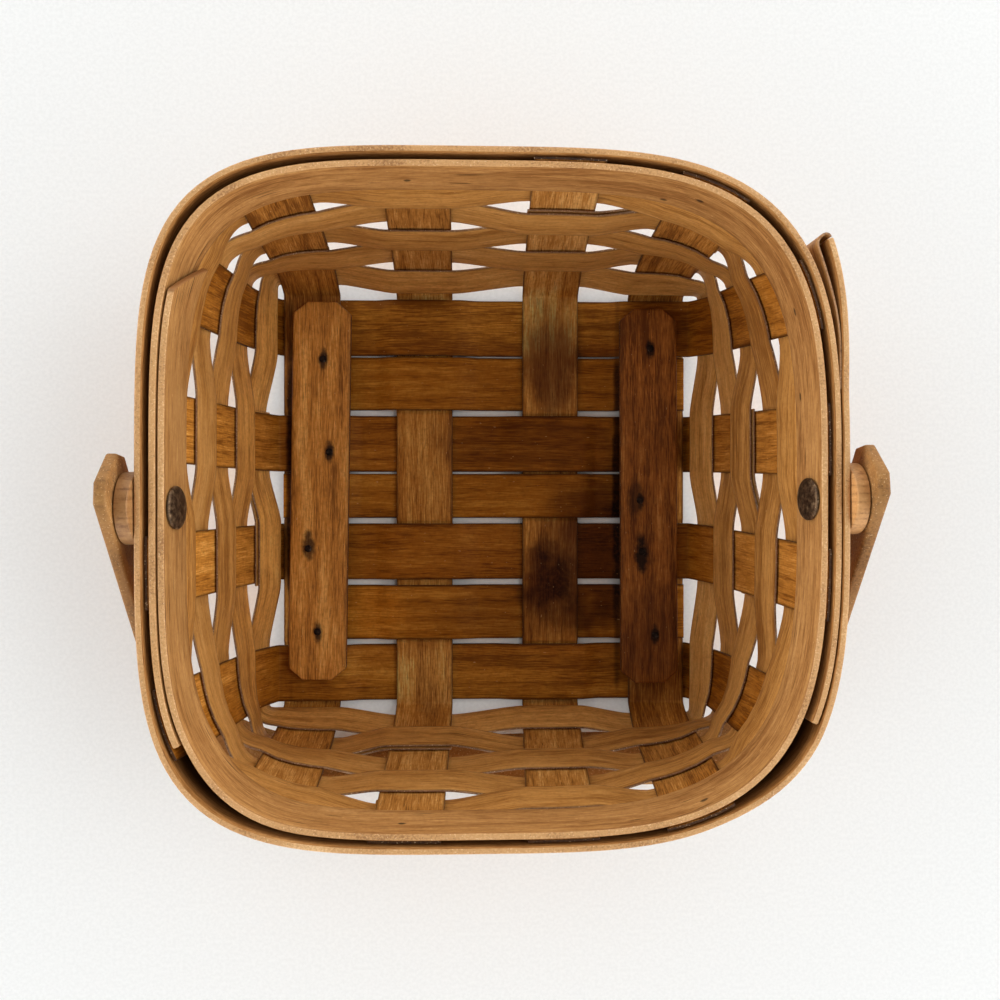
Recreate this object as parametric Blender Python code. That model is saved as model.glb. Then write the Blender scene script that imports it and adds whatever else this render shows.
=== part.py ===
"""A square berry basket woven from wood splints, with a swing handle.

X runs along the hinge of the handle, Y runs across it and Z points up. The origin is on the
surface that the basket stands on, halfway between the handle's two arms. Lengths are in metres.
The basket is woven round its own middle plane, which lies BODY_SHIFT to the left of the origin,
because the outer rim band is one layer thicker on the right.
"""

import math

import bmesh
import bpy
from mathutils import Matrix, Vector

# Clearances, and distances and angles used in working out shapes
FIT_GAP = 0.0003
BORE_CLEARANCE = 0.00025
CUT_OVERRUN = 0.004
MERGE_DISTANCE = 0.000003
SLOPE_STEP = 0.0003
SHADE_ANGLE = math.radians(40)

# Splints of the floor, which run on up the walls
SPLINT_WIDTH = 0.01905
SPLINT_THICKNESS = 0.0009
FILLER_WIDTH_SHARES = (0.95, 0.79, 0.97)
ROW_SPACING = 0.0018
ROW_SPACING_SHARES = (0.2, 1.0, 0.33, 1.0, 1.0, 0.9)
CROSS_PLACE_SHARES = (-1.0, -0.351, 0.38, 1.0)
CROSS_DIP = 0.0005
CROSS_RUN_SHARE = 0.39
FLAT_MARGIN = 0.001
LOW_RUN_SHARE = 0.6
RISE_STEPS = 3
BEND_RADIUS = 0.0016
BEND_STEPS = 4
WALL_STEPS = 14

# Shares of the splint's width by which each end leans along its wall, and shares of the rim's
# height by which it stops short of the top: the +Y or +X end first, then the other end
CROSS_LEAN_SHARES = ((-0.02, 0.02), (0.0, -0.12), (-0.10, -0.19), (0.0, -0.21))
CROSS_DROP_SHARES = ((0.42, 0.40), (0.45, 0.10), (0.05, 0.08), (0.06, 0.05))
ROW_LEAN_SHARES = ((-0.25, 0.0), (-0.17, 0.03), (-0.26, -0.07), (-0.05, 0.04))
ROW_DROP_SHARES = ((0.05, 0.42), (0.07, 0.44), (0.06, 0.07), (0.40, 0.08))

# Weavers, the bands that go round the walls. Each one leans with the wall, so it rises by a
# little less than its width
WEAVER_WIDTH = 0.0132
WEAVER_THICKNESS = 0.0007
WEAVER_SPACING = 0.00045
WEAVER_SLACK = 0.0001
WEAVER_OVERREACH = 0.0006
WEAVER_PULL_SHARE = 0.5
WEAVER_RISE_SHARES = (0.937, 0.973, 0.982, 0.986, 0.989)
LAYER_GAP = 0.00035
LAP_STAKES = 2
WEAVER_START_STAKES = (13, 10, 5, 2, 9)
WEAVER_JOINTS = 4
WEAVER_CORNER_JOINTS = 5
FIRST_WEAVER_LIFT = 0.0022

# Walls and rim. The walls bulge past the floor at their foot and are tucked in under the bulge
WALL_FLARE = 0.01659
FOOT_SPREAD = 0.00406
FOOT_TUCK = 0.00355
FOOT_RISE = 0.024
WALL_BOW = 1.2
RIM_SQUARENESS = 4.0
FLOOR_SQUARENESS = 16.0
SQUARENESS_POWER = 3
CORNER_SHARES = {(1, 1): 0.90, (-1, 1): 1.11, (1, -1): 0.86, (-1, -1): 1.04}
TWIST_START = 0.002
TWIST_END = 0.030
RIM_HEIGHT = 0.0145
BAND_THICKNESS = 0.0019
BAND_CLEARANCE = 0.0004
BAND_SHIFT_RUN = 0.032
INNER_BAND_START = math.radians(218.1)
INNER_BAND_LAP = math.radians(77.2)
INNER_BAND_CUT = 0.009
OUTER_BAND_START = math.radians(-34.8)
OUTER_BAND_LAP = math.radians(72.6)
OUTER_END_SPRING = 0.0042
END_SPRING_RUN = 0.033
END_SPRING_POWER = 1.3
BAND_STEPS = 96

# Wear slats on the floor, and their brads
SLAT_WIDTH = 0.0193
SLAT_END_GAP = 0.00465
SLAT_THICKNESS = 0.003
SLAT_CLIP_ACROSS = 0.0048
SLAT_CLIP_ALONG = 0.0040
SLAT_PLACE_SHARES = ((-0.815, 0.045), (0.815, 0.020))
SLAT_TURNS = (math.radians(-0.8), math.radians(0.2))
BRAD_RADIUS = 0.00065
BRAD_HEAD_RADIUS = 0.0012
BRAD_HEAD_HEIGHT = 0.0004
BRAD_CROWN_HEIGHT = 0.0001
BRAD_HEAD_EDGE_SHARE = 0.85
BRAD_TIP_SHARE = 0.5
BRAD_TIP_CLEARANCE = 0.0003

# The floor rows that the brads go through, counted from the +Y side, and each brad's place as
# shares of the slat's width and of its row's width
BRAD_LEFT_ROWS = (1, 2, 4, 5)
BRAD_LEFT_SHARES = ((0.03, 0.42), (0.16, -0.156), (-0.18, 0.063), (0.0, -0.324))
BRAD_RIGHT_ROWS = (0, 3, 4, 5)
BRAD_RIGHT_SHARES = ((0.03, -0.378), (-0.16, -0.104), (-0.13, 0.0), (0.10, -0.416))

# Swing handle and its pivots
PIVOT_DROP = 0.0065
PIVOT_OFFSET = -0.0009
PIVOT_SKEW = 0.0026
HANDLE_WIDTH = 0.020
HANDLE_THICKNESS = 0.0033
HANDLE_TAIL = 0.0135
HANDLE_TAIL_CLIP = 0.0042
HANDLE_BEND = 0.047
HANDLE_BEND_STEPS = 9
HANDLE_STANDOFF = 0.0036
HANDLE_TABLE_CLEARANCE = 0.0005
SPACER_RADIUS = 0.0095
SPACER_THICKNESS = 0.0047
SPACER_BEVEL = 0.0004
RIVET_RADIUS = 0.0021
RIVET_HEAD_RADIUS = 0.00565
RIVET_HEAD_HEIGHT = 0.0013
RIVET_DOME_TURNS = (math.radians(30), math.radians(60), math.radians(82))
RIVET_TAIL_RADIUS = 0.0034
RIVET_TAIL_HEIGHT = 0.0012
RIVET_TAIL_DOME_SHARES = (0.7, 0.75)
WASHER_RADIUS = 0.0055
WASHER_THICKNESS = 0.001
WASHER_EDGE_SHARE = 0.93
TURN_SEGMENTS = 20
BRAD_SEGMENTS = 10

# Colours of the finished wood and of the metal, with their roughness
SPLINT_COLOUR = (0.33, 0.17, 0.07)
WEAVER_COLOUR = (0.36, 0.19, 0.08)
RIM_COLOUR = (0.42, 0.23, 0.10)
SLAT_COLOUR = (0.22, 0.11, 0.045)
HANDLE_COLOUR = (0.38, 0.22, 0.12)
SPACER_COLOUR = (0.50, 0.29, 0.15)
RIVET_COLOUR = (0.13, 0.09, 0.055)
IRON_COLOUR = (0.03, 0.025, 0.02)
WOOD_ROUGHNESS = 0.55
METAL_ROUGHNESS = 0.45

# Levels of the floor weave, as heights of the splints' middle planes
LEVEL_STEP = SPLINT_THICKNESS + FIT_GAP
ROW_LOW = SPLINT_THICKNESS / 2
CROSS_OVER = ROW_LOW + LEVEL_STEP
CROSS_UNDER = CROSS_OVER - CROSS_DIP
ROW_HIGH = CROSS_UNDER + LEVEL_STEP
FLOOR_TOP = ROW_HIGH + SPLINT_THICKNESS / 2
SLAT_BOTTOM = FLOOR_TOP + FIT_GAP
SLAT_TOP = SLAT_BOTTOM + SLAT_THICKNESS

# Widths of the floor's rows from the +Y side, and the sizes that follow from them
ROW_WIDTHS = tuple(
    SPLINT_WIDTH if index % 2 == 0 else SPLINT_WIDTH * FILLER_WIDTH_SHARES[index // 2]
    for index in range(2 * len(FILLER_WIDTH_SHARES) + 1)
)
ROW_SPACES = tuple(ROW_SPACING * share for share in ROW_SPACING_SHARES)
FLOOR_HALF = (sum(ROW_WIDTHS) + sum(ROW_SPACES)) / 2
BASE_HALF = FLOOR_HALF + FOOT_SPREAD
RIM_HALF = BASE_HALF + WALL_FLARE
SLAT_LENGTH = 2 * (FLOOR_HALF - SLAT_END_GAP)
CROSS_PLACES = tuple((FLOOR_HALF - SPLINT_WIDTH / 2) * share for share in CROSS_PLACE_SHARES)

# Heights of the walls
WEAVER_BASE = FLOOR_TOP + FIRST_WEAVER_LIFT
WEAVER_RISES = tuple(WEAVER_WIDTH * share for share in WEAVER_RISE_SHARES)
RIM_BOTTOM = WEAVER_BASE + sum(WEAVER_RISES) + len(WEAVER_RISES) * WEAVER_SPACING
RIM_TOP = RIM_BOTTOM + RIM_HEIGHT
WEAVER_OFFSET = (SPLINT_THICKNESS + WEAVER_THICKNESS) / 2 + FIT_GAP + WEAVER_SLACK
LAYER_STEP = WEAVER_THICKNESS + LAYER_GAP
BAND_OFFSET = (SPLINT_THICKNESS + BAND_THICKNESS) / 2 + BAND_CLEARANCE
BAND_STEP = BAND_THICKNESS + LAYER_GAP
BODY_SHIFT = -BAND_STEP / 2
PIVOT_HEIGHT = RIM_TOP - PIVOT_DROP

# The four walls as their outward direction and their clockwise travel seen from above
WALLS = {
    "back": (Vector((0, 1, 0)), Vector((1, 0, 0))),
    "right": (Vector((1, 0, 0)), Vector((0, -1, 0))),
    "front": (Vector((0, -1, 0)), Vector((-1, 0, 0))),
    "left": (Vector((-1, 0, 0)), Vector((0, 1, 0))),
}
UP = Vector((0, 0, 1))


def clear_scene():
    for item in list(bpy.data.objects):
        bpy.data.objects.remove(item, do_unlink=True)


def make_material(name, colour, roughness, metallic=0.0):
    material = bpy.data.materials.new(name)
    material.use_nodes = True
    shader = material.node_tree.nodes["Principled BSDF"]
    shader.inputs["Base Color"].default_value = (*colour, 1.0)
    shader.inputs["Roughness"].default_value = roughness
    shader.inputs["Metallic"].default_value = metallic
    return material


def add_object(name, mesh_builder, material, smooth=False):
    """Turn a finished bmesh into a named object with one material."""
    bmesh.ops.recalc_face_normals(mesh_builder, faces=mesh_builder.faces[:])
    mesh = bpy.data.meshes.new(name)
    mesh_builder.to_mesh(mesh)
    mesh_builder.free()
    mesh.materials.append(material)
    if smooth:
        mesh.shade_smooth()
        mesh.set_sharp_from_angle(angle=SHADE_ANGLE)
    item = bpy.data.objects.new(name, mesh)
    bpy.context.scene.collection.objects.link(item)
    return item


def add_empty(name, location, turn=0.0):
    empty = bpy.data.objects.new(name, None)
    empty.location = location
    empty.rotation_euler.z = turn
    bpy.context.scene.collection.objects.link(empty)
    return empty


def sweep(rings):
    """Extrude a first ring of corners from ring to ring into one closed strip."""
    shape = bmesh.new()
    first = shape.faces.new([shape.verts.new(corner) for corner in rings[0]])
    cap = first
    for ring in rings[1:]:
        grown = bmesh.ops.extrude_face_region(shape, geom=[cap])["geom"]
        if cap is not first:
            bmesh.ops.delete(shape, geom=[cap], context="FACES_ONLY")
        cap = next(part for part in grown if isinstance(part, bmesh.types.BMFace))
        for vert, corner in zip(cap.verts, ring):
            vert.co = corner
    return shape


def strip_ring(across, normal, thickness):
    """Corners of a strip's cross-section from its middle points and its face direction."""
    half = normal * (thickness / 2)
    return [point - half for point in across] + [point + half for point in reversed(across)]


def ease(share):
    """Smooth step from 0 to 1."""
    share = min(max(share, 0.0), 1.0)
    return share * share * (3 - 2 * share)


def turned(profile, segments):
    """Spin a profile of (distance along X, radius) points about X into a closed body."""
    shape = bmesh.new()
    verts = [shape.verts.new((along, 0, radius)) for along, radius in profile]
    ends = verts if profile[0][1] == 0 else verts + verts[:1]
    edges = [shape.edges.new(pair) for pair in zip(ends, ends[1:])]
    bmesh.ops.spin(
        shape, geom=verts + edges, cent=(0, 0, 0), axis=(1, 0, 0),
        angle=math.tau, steps=segments, use_merge=True, use_duplicate=False,
    )
    bmesh.ops.remove_doubles(shape, verts=shape.verts[:], dist=MERGE_DISTANCE)
    return shape


def wall_half(height):
    """Half the wall's width at its middle plane, at a height."""
    depth_share = max(RIM_TOP - height, 0.0) / RIM_TOP
    foot_share = max(FOOT_RISE - height, 0.0) / FOOT_RISE
    tuck = FOOT_TUCK * foot_share * foot_share
    return RIM_HALF - (RIM_HALF - BASE_HALF) * depth_share ** WALL_BOW - tuck


def wall_slope(height):
    """How far the wall moves out for each unit that it rises."""
    return (wall_half(height + SLOPE_STEP) - wall_half(height - SLOPE_STEP)) / (2 * SLOPE_STEP)


def squareness(height, x_value, y_value):
    """Exponent of the rounded outline for the corner that a point belongs to."""
    depth_share = max(RIM_TOP - height, 0.0) / RIM_TOP
    plain = RIM_SQUARENESS + (FLOOR_SQUARENESS - RIM_SQUARENESS) * depth_share ** SQUARENESS_POWER
    corner = (1 if x_value >= 0 else -1, 1 if y_value >= 0 else -1)
    return plain * CORNER_SHARES[corner]


def wall_spot(wall, along, height):
    """Point of the wall's middle surface at a distance along its travel direction."""
    outward, travel = WALLS[wall]
    half = wall_half(height)
    guide = outward * half + travel * along
    power = squareness(height, guide.x, guide.y)
    reach = half * max(1 - (abs(along) / half) ** power, 0.0) ** (1 / power)
    twist = ease((height - TWIST_START) / (TWIST_END - TWIST_START))
    reach = half - twist * (half - reach)
    return outward * reach + travel * along + UP * height


def rows_of_floor():
    """Centre and width of each floor row, from the +Y side."""
    rows = []
    edge = FLOOR_HALF
    for index, width in enumerate(ROW_WIDTHS):
        rows.append((edge - width / 2, width))
        edge -= width + (ROW_SPACES[index] if index < len(ROW_SPACES) else 0)
    return rows


def cross_is_over(cross, row):
    """The cross splints pass over and under the rows two at a time."""
    return (cross + row // 2) % 2 == 0


class Stake:
    """One splint where it stands up a wall."""

    def __init__(self, wall, place, lean, drop, level):
        outward, travel = WALLS[wall]
        sign = travel.x + travel.y
        self.wall = wall
        self.place = place * sign
        self.lean = lean * SPLINT_WIDTH * sign
        self.end = RIM_TOP - drop * RIM_HEIGHT
        self.level = level

    def centre(self, height):
        rise = (height - self.level) / (RIM_TOP - self.level)
        return self.place + self.lean * rise

    def half_across(self, height):
        """Half the splint's width measured along the wall's travel direction."""
        middle = self.centre(height)
        half = SPLINT_WIDTH / 2
        chord = wall_spot(self.wall, middle + half, height) - wall_spot(self.wall, middle - half, height)
        return half * SPLINT_WIDTH / chord.length

    def across(self, height, overreach=0.0):
        """Left edge, middle and right edge on the wall, in the travel direction."""
        middle = self.centre(height)
        half = self.half_across(height) + overreach
        return [wall_spot(self.wall, middle + side * half, height) for side in (-1, 0, 1)]

    def outward(self, height):
        """Level direction out of the wall, square to the splint's width."""
        left, _, right = self.across(height)
        return (right - left).normalized().cross(UP) * -1


def bend_stations(level):
    """Reach, height and rise angle along the bend from floor to wall for a floor level."""
    lean = math.atan(wall_slope(level + BEND_RADIUS))
    end_height = level + BEND_RADIUS * (1 - math.sin(lean))
    start = wall_half(end_height) - BEND_RADIUS * math.cos(lean)
    full_turn = math.pi / 2 - lean
    stations = []
    for step in range(BEND_STEPS + 1):
        turn = full_turn * step / BEND_STEPS
        stations.append((
            start + BEND_RADIUS * math.sin(turn),
            level + BEND_RADIUS * (1 - math.cos(turn)),
            turn,
        ))
    return stations


def wall_rings(stake):
    """Cross-sections of a splint from where it leaves the floor to its end at the rim."""
    outward, travel = WALLS[stake.wall]
    rings = []
    stations = bend_stations(stake.level)
    for reach, height, turn in stations:
        middle = stake.centre(height)
        across = [
            outward * reach + travel * (middle + side * SPLINT_WIDTH / 2) + UP * height
            for side in (-1, 0, 1)
        ]
        face = outward * math.sin(turn) - UP * math.cos(turn)
        rings.append(strip_ring(across, face, SPLINT_THICKNESS))
    foot = stations[-1][1]
    for step in range(1, WALL_STEPS + 1):
        height = foot + (stake.end - foot) * step / WALL_STEPS
        face = (stake.outward(height) - UP * wall_slope(height)).normalized()
        rings.append(strip_ring(stake.across(height), face, SPLINT_THICKNESS))
    return rings


def floor_ring(axis, across_axis, along, place, level, width):
    """Cross-section of a splint lying on the floor, listed as the wall's are for travel axis."""
    across = [
        axis * along + across_axis * (place + side * width / 2) + UP * level for side in (-1, 0, 1)
    ]
    return strip_ring(across, -UP, SPLINT_THICKNESS)


def cross_levels(cross):
    """Along-Y stations of a cross splint on the floor, from +Y to -Y, with their levels."""
    rows = rows_of_floor()
    stations = []
    for index in range(len(rows) - 1):
        here = CROSS_OVER if cross_is_over(cross, index) else CROSS_UNDER
        after = CROSS_OVER if cross_is_over(cross, index + 1) else CROSS_UNDER
        if here == after:
            continue
        edge = rows[index][0] - rows[index][1] / 2
        middle = edge - ROW_SPACES[index] / 2
        run = ROW_SPACES[index] * CROSS_RUN_SHARE
        stations.append((middle + run, here))
        stations.append((middle - run, after))
    return stations


def row_levels(row):
    """Along-X stations of a row on the floor, from +X to -X, with their levels."""
    stations = []
    crosses = list(reversed(range(len(CROSS_PLACES))))
    for position, cross in enumerate(crosses):
        level = ROW_LOW if cross_is_over(cross, row) else ROW_HIGH
        half = SPLINT_WIDTH / 2 + FLAT_MARGIN
        if position > 0:
            start_x, start_level = stations[-1]
            end_x = CROSS_PLACES[cross] + half
            rise_start = start_x
            rise_end = end_x
            if start_level < level:
                rise_start += (end_x - start_x) * LOW_RUN_SHARE
                stations.append((rise_start, start_level))
            elif level < start_level:
                rise_end -= (end_x - start_x) * LOW_RUN_SHARE
            for step in range(1, RISE_STEPS + 1):
                share = step / (RISE_STEPS + 1)
                stations.append((
                    rise_start + (rise_end - rise_start) * share,
                    start_level + (level - start_level) * ease(share),
                ))
            if level < start_level:
                stations.append((rise_end, level))
            stations.append((end_x, level))
        if position < len(crosses) - 1:
            stations.append((CROSS_PLACES[cross] - half, level))
    return stations


def splint_rings(near_stake, far_stake, axis, across_axis, stations, place):
    """Whole splint from one rim end, down, across the floor and up to the other rim end."""
    first = list(reversed(wall_rings(near_stake)))
    last = wall_rings(far_stake)
    middle = [
        floor_ring(axis, across_axis, along, place, level, SPLINT_WIDTH) for along, level in stations
    ]
    mirrored = [[ring[index] for index in (2, 1, 0, 5, 4, 3)] for ring in last]
    return first + middle + mirrored


def make_stakes():
    """The places where the splints stand in the walls, clockwise seen from above."""
    rows = rows_of_floor()
    stakes = {"back": [], "right": [], "front": [], "left": []}
    for cross, place in enumerate(CROSS_PLACES):
        for end, wall in enumerate(("back", "front")):
            row = 0 if wall == "back" else len(rows) - 1
            level = CROSS_OVER if cross_is_over(cross, row) else CROSS_UNDER
            lean = CROSS_LEAN_SHARES[cross][end]
            drop = CROSS_DROP_SHARES[cross][end]
            stakes[wall].append(Stake(wall, place, lean, drop, level))
    for number, row in enumerate(range(0, len(rows), 2)):
        for end, wall in enumerate(("right", "left")):
            cross = len(CROSS_PLACES) - 1 if wall == "right" else 0
            level = ROW_LOW if cross_is_over(cross, row) else ROW_HIGH
            lean = ROW_LEAN_SHARES[number][end]
            drop = ROW_DROP_SHARES[number][end]
            stakes[wall].append(Stake(wall, rows[row][0], lean, drop, level))
    return stakes


def make_cross_splints(stakes, material):
    """The splints along Y, each from rim to rim."""
    splints = []
    for cross, place in enumerate(CROSS_PLACES):
        rings = splint_rings(
            stakes["back"][cross], stakes["front"][cross], WALLS["back"][0], WALLS["back"][1],
            cross_levels(cross), place,
        )
        splints.append(add_object(f"splint_y_{cross + 1}", sweep(rings), material))
    return splints


def make_row_splints(stakes, material):
    """The splints along X, each from rim to rim."""
    splints = []
    for number, (place, _) in enumerate(rows_of_floor()[::2]):
        rings = splint_rings(
            stakes["right"][number], stakes["left"][number], WALLS["right"][0], WALLS["right"][1],
            row_levels(2 * number), -place,
        )
        splints.append(add_object(f"splint_x_{2 * number + 1}", sweep(rings), material))
    return splints


def make_fillers(material):
    """Short splints that fill the floor between the rows and end at its edges."""
    fillers = []
    axis, across_axis = WALLS["right"]
    for row, (place, width) in enumerate(rows_of_floor()):
        if row % 2 == 0:
            continue
        stations = row_levels(row)
        stations = [(FLOOR_HALF, stations[0][1])] + stations + [(-FLOOR_HALF, stations[-1][1])]
        rings = [floor_ring(axis, across_axis, along, -place, level, width) for along, level in stations]
        fillers.append(add_object(f"filler_{row + 1}", sweep(rings), material))
    return fillers


def hermite(start, start_way, end, end_way, share, pull_share):
    """Point on a smooth curve that leaves and arrives in the given directions."""
    pull = (end - start).length * pull_share
    square = share * share
    cube = square * share
    return (
        start * (2 * cube - 3 * square + 1)
        + start_way * (pull * (cube - 2 * square + share))
        + end * (3 * square - 2 * cube)
        + end_way * (pull * (cube - square))
    )


def weaver_line(ring_stakes, weaver, start, height):
    """A weaver's line at a height as points round the basket, past its start to the lap's end."""
    count = len(ring_stakes)
    lap_offset = WEAVER_OFFSET + LAYER_STEP / 2
    points = []
    last_way = None
    for step in range(count + LAP_STAKES):
        index = (start + step) % count
        stake = ring_stakes[index]
        inside = 1 if (index + weaver) % 2 == 0 else -1
        if step < LAP_STAKES:
            inward = inside * lap_offset - LAYER_STEP / 2
        elif step >= count:
            inward = inside * lap_offset + LAYER_STEP / 2
        else:
            inward = inside * WEAVER_OFFSET
        outward = stake.outward(height) * math.hypot(1, wall_slope(height))
        trio = [spot - outward * inward for spot in stake.across(height, WEAVER_OVERREACH)]
        way = (trio[2] - trio[0]).normalized()
        if points:
            corner = stake.wall != ring_stakes[(index - 1) % count].wall
            joints = WEAVER_CORNER_JOINTS if corner else WEAVER_JOINTS
            pull_share = 1.0 if corner else WEAVER_PULL_SHARE
            begin = points[-1]
            for joint in range(1, joints):
                points.append(hermite(begin, last_way, trio[0], way, joint / joints, pull_share))
        points.extend(trio)
        last_way = way
    return points


def weaver_rings(low_line, middle_line, high_line):
    """Cross-sections of a weaver from its lower edge, middle line and upper edge."""
    rings = []
    for index, across in enumerate(zip(low_line, middle_line, high_line)):
        before = max(index - 1, 0)
        after = min(index + 1, len(middle_line) - 1)
        way = middle_line[after] - middle_line[before]
        way.z = 0
        outward = way.normalized().cross(UP) * -1
        rings.append(strip_ring(list(across), outward, WEAVER_THICKNESS))
    return rings


def make_weavers(stakes, material):
    """Five bands round the walls, which pass in and out of the stakes by turns."""
    ring_stakes = (
        stakes["back"] + stakes["right"] + list(reversed(stakes["front"])) + list(reversed(stakes["left"]))
    )
    weavers = []
    low = WEAVER_BASE
    for weaver, (start, rise) in enumerate(zip(WEAVER_START_STAKES, WEAVER_RISES), start=1):
        lines = [
            weaver_line(ring_stakes, weaver, start, height) for height in (low, low + rise / 2, low + rise)
        ]
        weavers.append(add_object(f"weaver_{weaver}", sweep(weaver_rings(*lines)), material))
        low += rise + WEAVER_SPACING
    return weavers


def band_point(angle, height, offset):
    """Point on the rim's rounded outline, set out from the wall's middle surface."""
    half = wall_half(height) + offset
    across = math.cos(angle)
    along = math.sin(angle)
    power = squareness(RIM_TOP, across, along)
    reach = half / (abs(across) ** power + abs(along) ** power) ** (1 / power)
    return Vector((reach * across, reach * along, height))


def band_rings(side, start, lap, cut, spring):
    """Cross-sections of a rim band whose second layer lies beyond its first.

    Side is -1 for the inner band, which goes round clockwise, and 1 for the outer band. The end
    is cut back by cut at the top edge, and it springs away from the first layer by spring.
    """
    sweep_angle = math.tau + lap
    steps = round(BAND_STEPS * sweep_angle / math.tau)
    rings = []
    for step in range(steps + 1):
        share = step / steps
        edges = []
        for height, cut_share in ((RIM_BOTTOM, 0.0), (RIM_TOP, 1.0)):
            travelled = (sweep_angle - cut / RIM_HALF * cut_share) * share
            to_lap = (travelled - math.tau) * RIM_HALF
            to_end = (sweep_angle - travelled) * RIM_HALF
            layer = ease(1 + to_lap / BAND_SHIFT_RUN)
            raised = spring * max(1 - to_end / END_SPRING_RUN, 0.0) ** END_SPRING_POWER
            offset = side * (BAND_OFFSET + layer * BAND_STEP + raised)
            angle = start + side * travelled
            centre = band_point(angle, height, offset)
            outer = band_point(angle, height, offset + BAND_THICKNESS / 2)
            edges.append((centre, outer - centre))
        (low, low_face), (high, high_face) = edges
        rings.append([low - low_face, high - high_face, high + high_face, low + low_face])
    return rings


def make_rims(material):
    inner = sweep(band_rings(-1, INNER_BAND_START, INNER_BAND_LAP, INNER_BAND_CUT, 0))
    outer = sweep(band_rings(1, OUTER_BAND_START, OUTER_BAND_LAP, 0, OUTER_END_SPRING))
    return [add_object("rim_inner", inner, material), add_object("rim_outer", outer, material)]


def slat_shape():
    """A flat slat with its four corners clipped."""
    across = SLAT_WIDTH / 2
    along = SLAT_LENGTH / 2
    outline = []
    for x_side, y_side in ((1, 1), (-1, 1), (-1, -1), (1, -1)):
        beside = (x_side * across, y_side * (along - SLAT_CLIP_ALONG))
        beyond = (x_side * (across - SLAT_CLIP_ACROSS), y_side * along)
        outline.extend((beside, beyond) if x_side == y_side else (beyond, beside))
    bottom = [Vector((x, y, SLAT_BOTTOM)) for x, y in outline]
    top = [Vector((x, y, SLAT_TOP)) for x, y in outline]
    return sweep([bottom, top])


def make_slats(material):
    slats = []
    for name, (x_share, y_share), turn in zip(("left", "right"), SLAT_PLACE_SHARES, SLAT_TURNS):
        slat = add_object(f"slat_{name}", slat_shape(), material)
        slat.location = (FLOOR_HALF * x_share + BODY_SHIFT, FLOOR_HALF * y_share, 0)
        slat.rotation_euler.z = turn
        slats.append(slat)
    return slats


def brad_shape():
    tip = BRAD_TIP_CLEARANCE
    neck = SLAT_TOP + FIT_GAP
    head = neck + BRAD_HEAD_HEIGHT
    return turned(
        [
            (tip, 0), (tip, BRAD_RADIUS * BRAD_TIP_SHARE), (tip + BRAD_RADIUS, BRAD_RADIUS),
            (neck, BRAD_RADIUS), (neck, BRAD_HEAD_RADIUS),
            (head, BRAD_HEAD_RADIUS * BRAD_HEAD_EDGE_SHARE), (head + BRAD_CROWN_HEIGHT, 0),
        ],
        BRAD_SEGMENTS,
    )


def make_brads(slats, material):
    """Nails through each slat and the floor under it; gives back the cutters for their holes."""
    cutters = []
    upright = Matrix.Rotation(-math.pi / 2, 4, "Y")
    floor_rows = rows_of_floor()
    sides = (
        ("left", BRAD_LEFT_ROWS, BRAD_LEFT_SHARES),
        ("right", BRAD_RIGHT_ROWS, BRAD_RIGHT_SHARES),
    )
    for slat, (side, rows, places) in zip(slats, sides):
        holes = bmesh.new()
        for number, (row, (across_share, row_share)) in enumerate(zip(rows, places), start=1):
            row_middle, row_width = floor_rows[row]
            along = row_middle + row_width * row_share - slat.location.y
            spot = Vector((SLAT_WIDTH * across_share, along, 0))
            brad = add_object(f"brad_{side}_{number}", brad_shape(), material, smooth=True)
            brad.data.transform(upright)
            brad.location = spot
            brad.parent = slat
            depth = SLAT_TOP + 2 * CUT_OVERRUN
            middle = Matrix.Translation(spot + UP * (SLAT_TOP / 2))
            bmesh.ops.create_cone(
                holes, cap_ends=True, segments=BRAD_SEGMENTS, depth=depth,
                radius1=BRAD_RADIUS + BORE_CLEARANCE, radius2=BRAD_RADIUS + BORE_CLEARANCE, matrix=middle,
            )
        cutter = add_object(f"{side}_brad_holes", holes, material)
        cutter.parent = slat
        cutters.append(cutter)
    return cutters


def cut_from(item, cutter):
    cut = item.modifiers.new("bore", "BOOLEAN")
    cut.operation = "DIFFERENCE"
    cut.object = cutter
    cut.solver = "EXACT"


def hide_cutter(cutter):
    cutter.hide_render = True
    cutter.display_type = "WIRE"


def band_lean():
    """How far the rim bands move out for each unit that they rise."""
    return (wall_half(RIM_TOP) - wall_half(RIM_BOTTOM)) / RIM_HEIGHT


def band_half():
    """Half the rim's width at the hinge's height, between its two bands."""
    return wall_half(RIM_TOP) - band_lean() * PIVOT_DROP


def rim_face():
    """Distance from the hinge's middle to the rim's outer face, the same on both sides."""
    return band_half() + BAND_OFFSET + BAND_THICKNESS / 2 + BAND_STEP / 2


def inner_face(side):
    """Distance from the hinge's middle to the rim's inner face, which is double on the left."""
    single = band_half() - BAND_OFFSET - BAND_THICKNESS / 2
    return single + BODY_SHIFT if side > 0 else single - BAND_STEP - BODY_SHIFT


def spacer_face():
    return rim_face() + FIT_GAP + SPACER_THICKNESS


def arm_face():
    return spacer_face() + FIT_GAP


def lean_with_band(shape, limit):
    """Lean the vertices nearer than a limit along X, to follow the sloping rim band."""
    for vert in shape.verts:
        if vert.co.x < limit:
            vert.co.x += vert.co.z * band_lean()


def place_on_pivot(item, side, pivot):
    """Seat a piece made for the +X side on the hinge line, on either side."""
    if side < 0:
        item.data.transform(Matrix.Scale(-1, 4, (1, 0, 0)))
        item.data.flip_normals()
    item.parent = pivot


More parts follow.
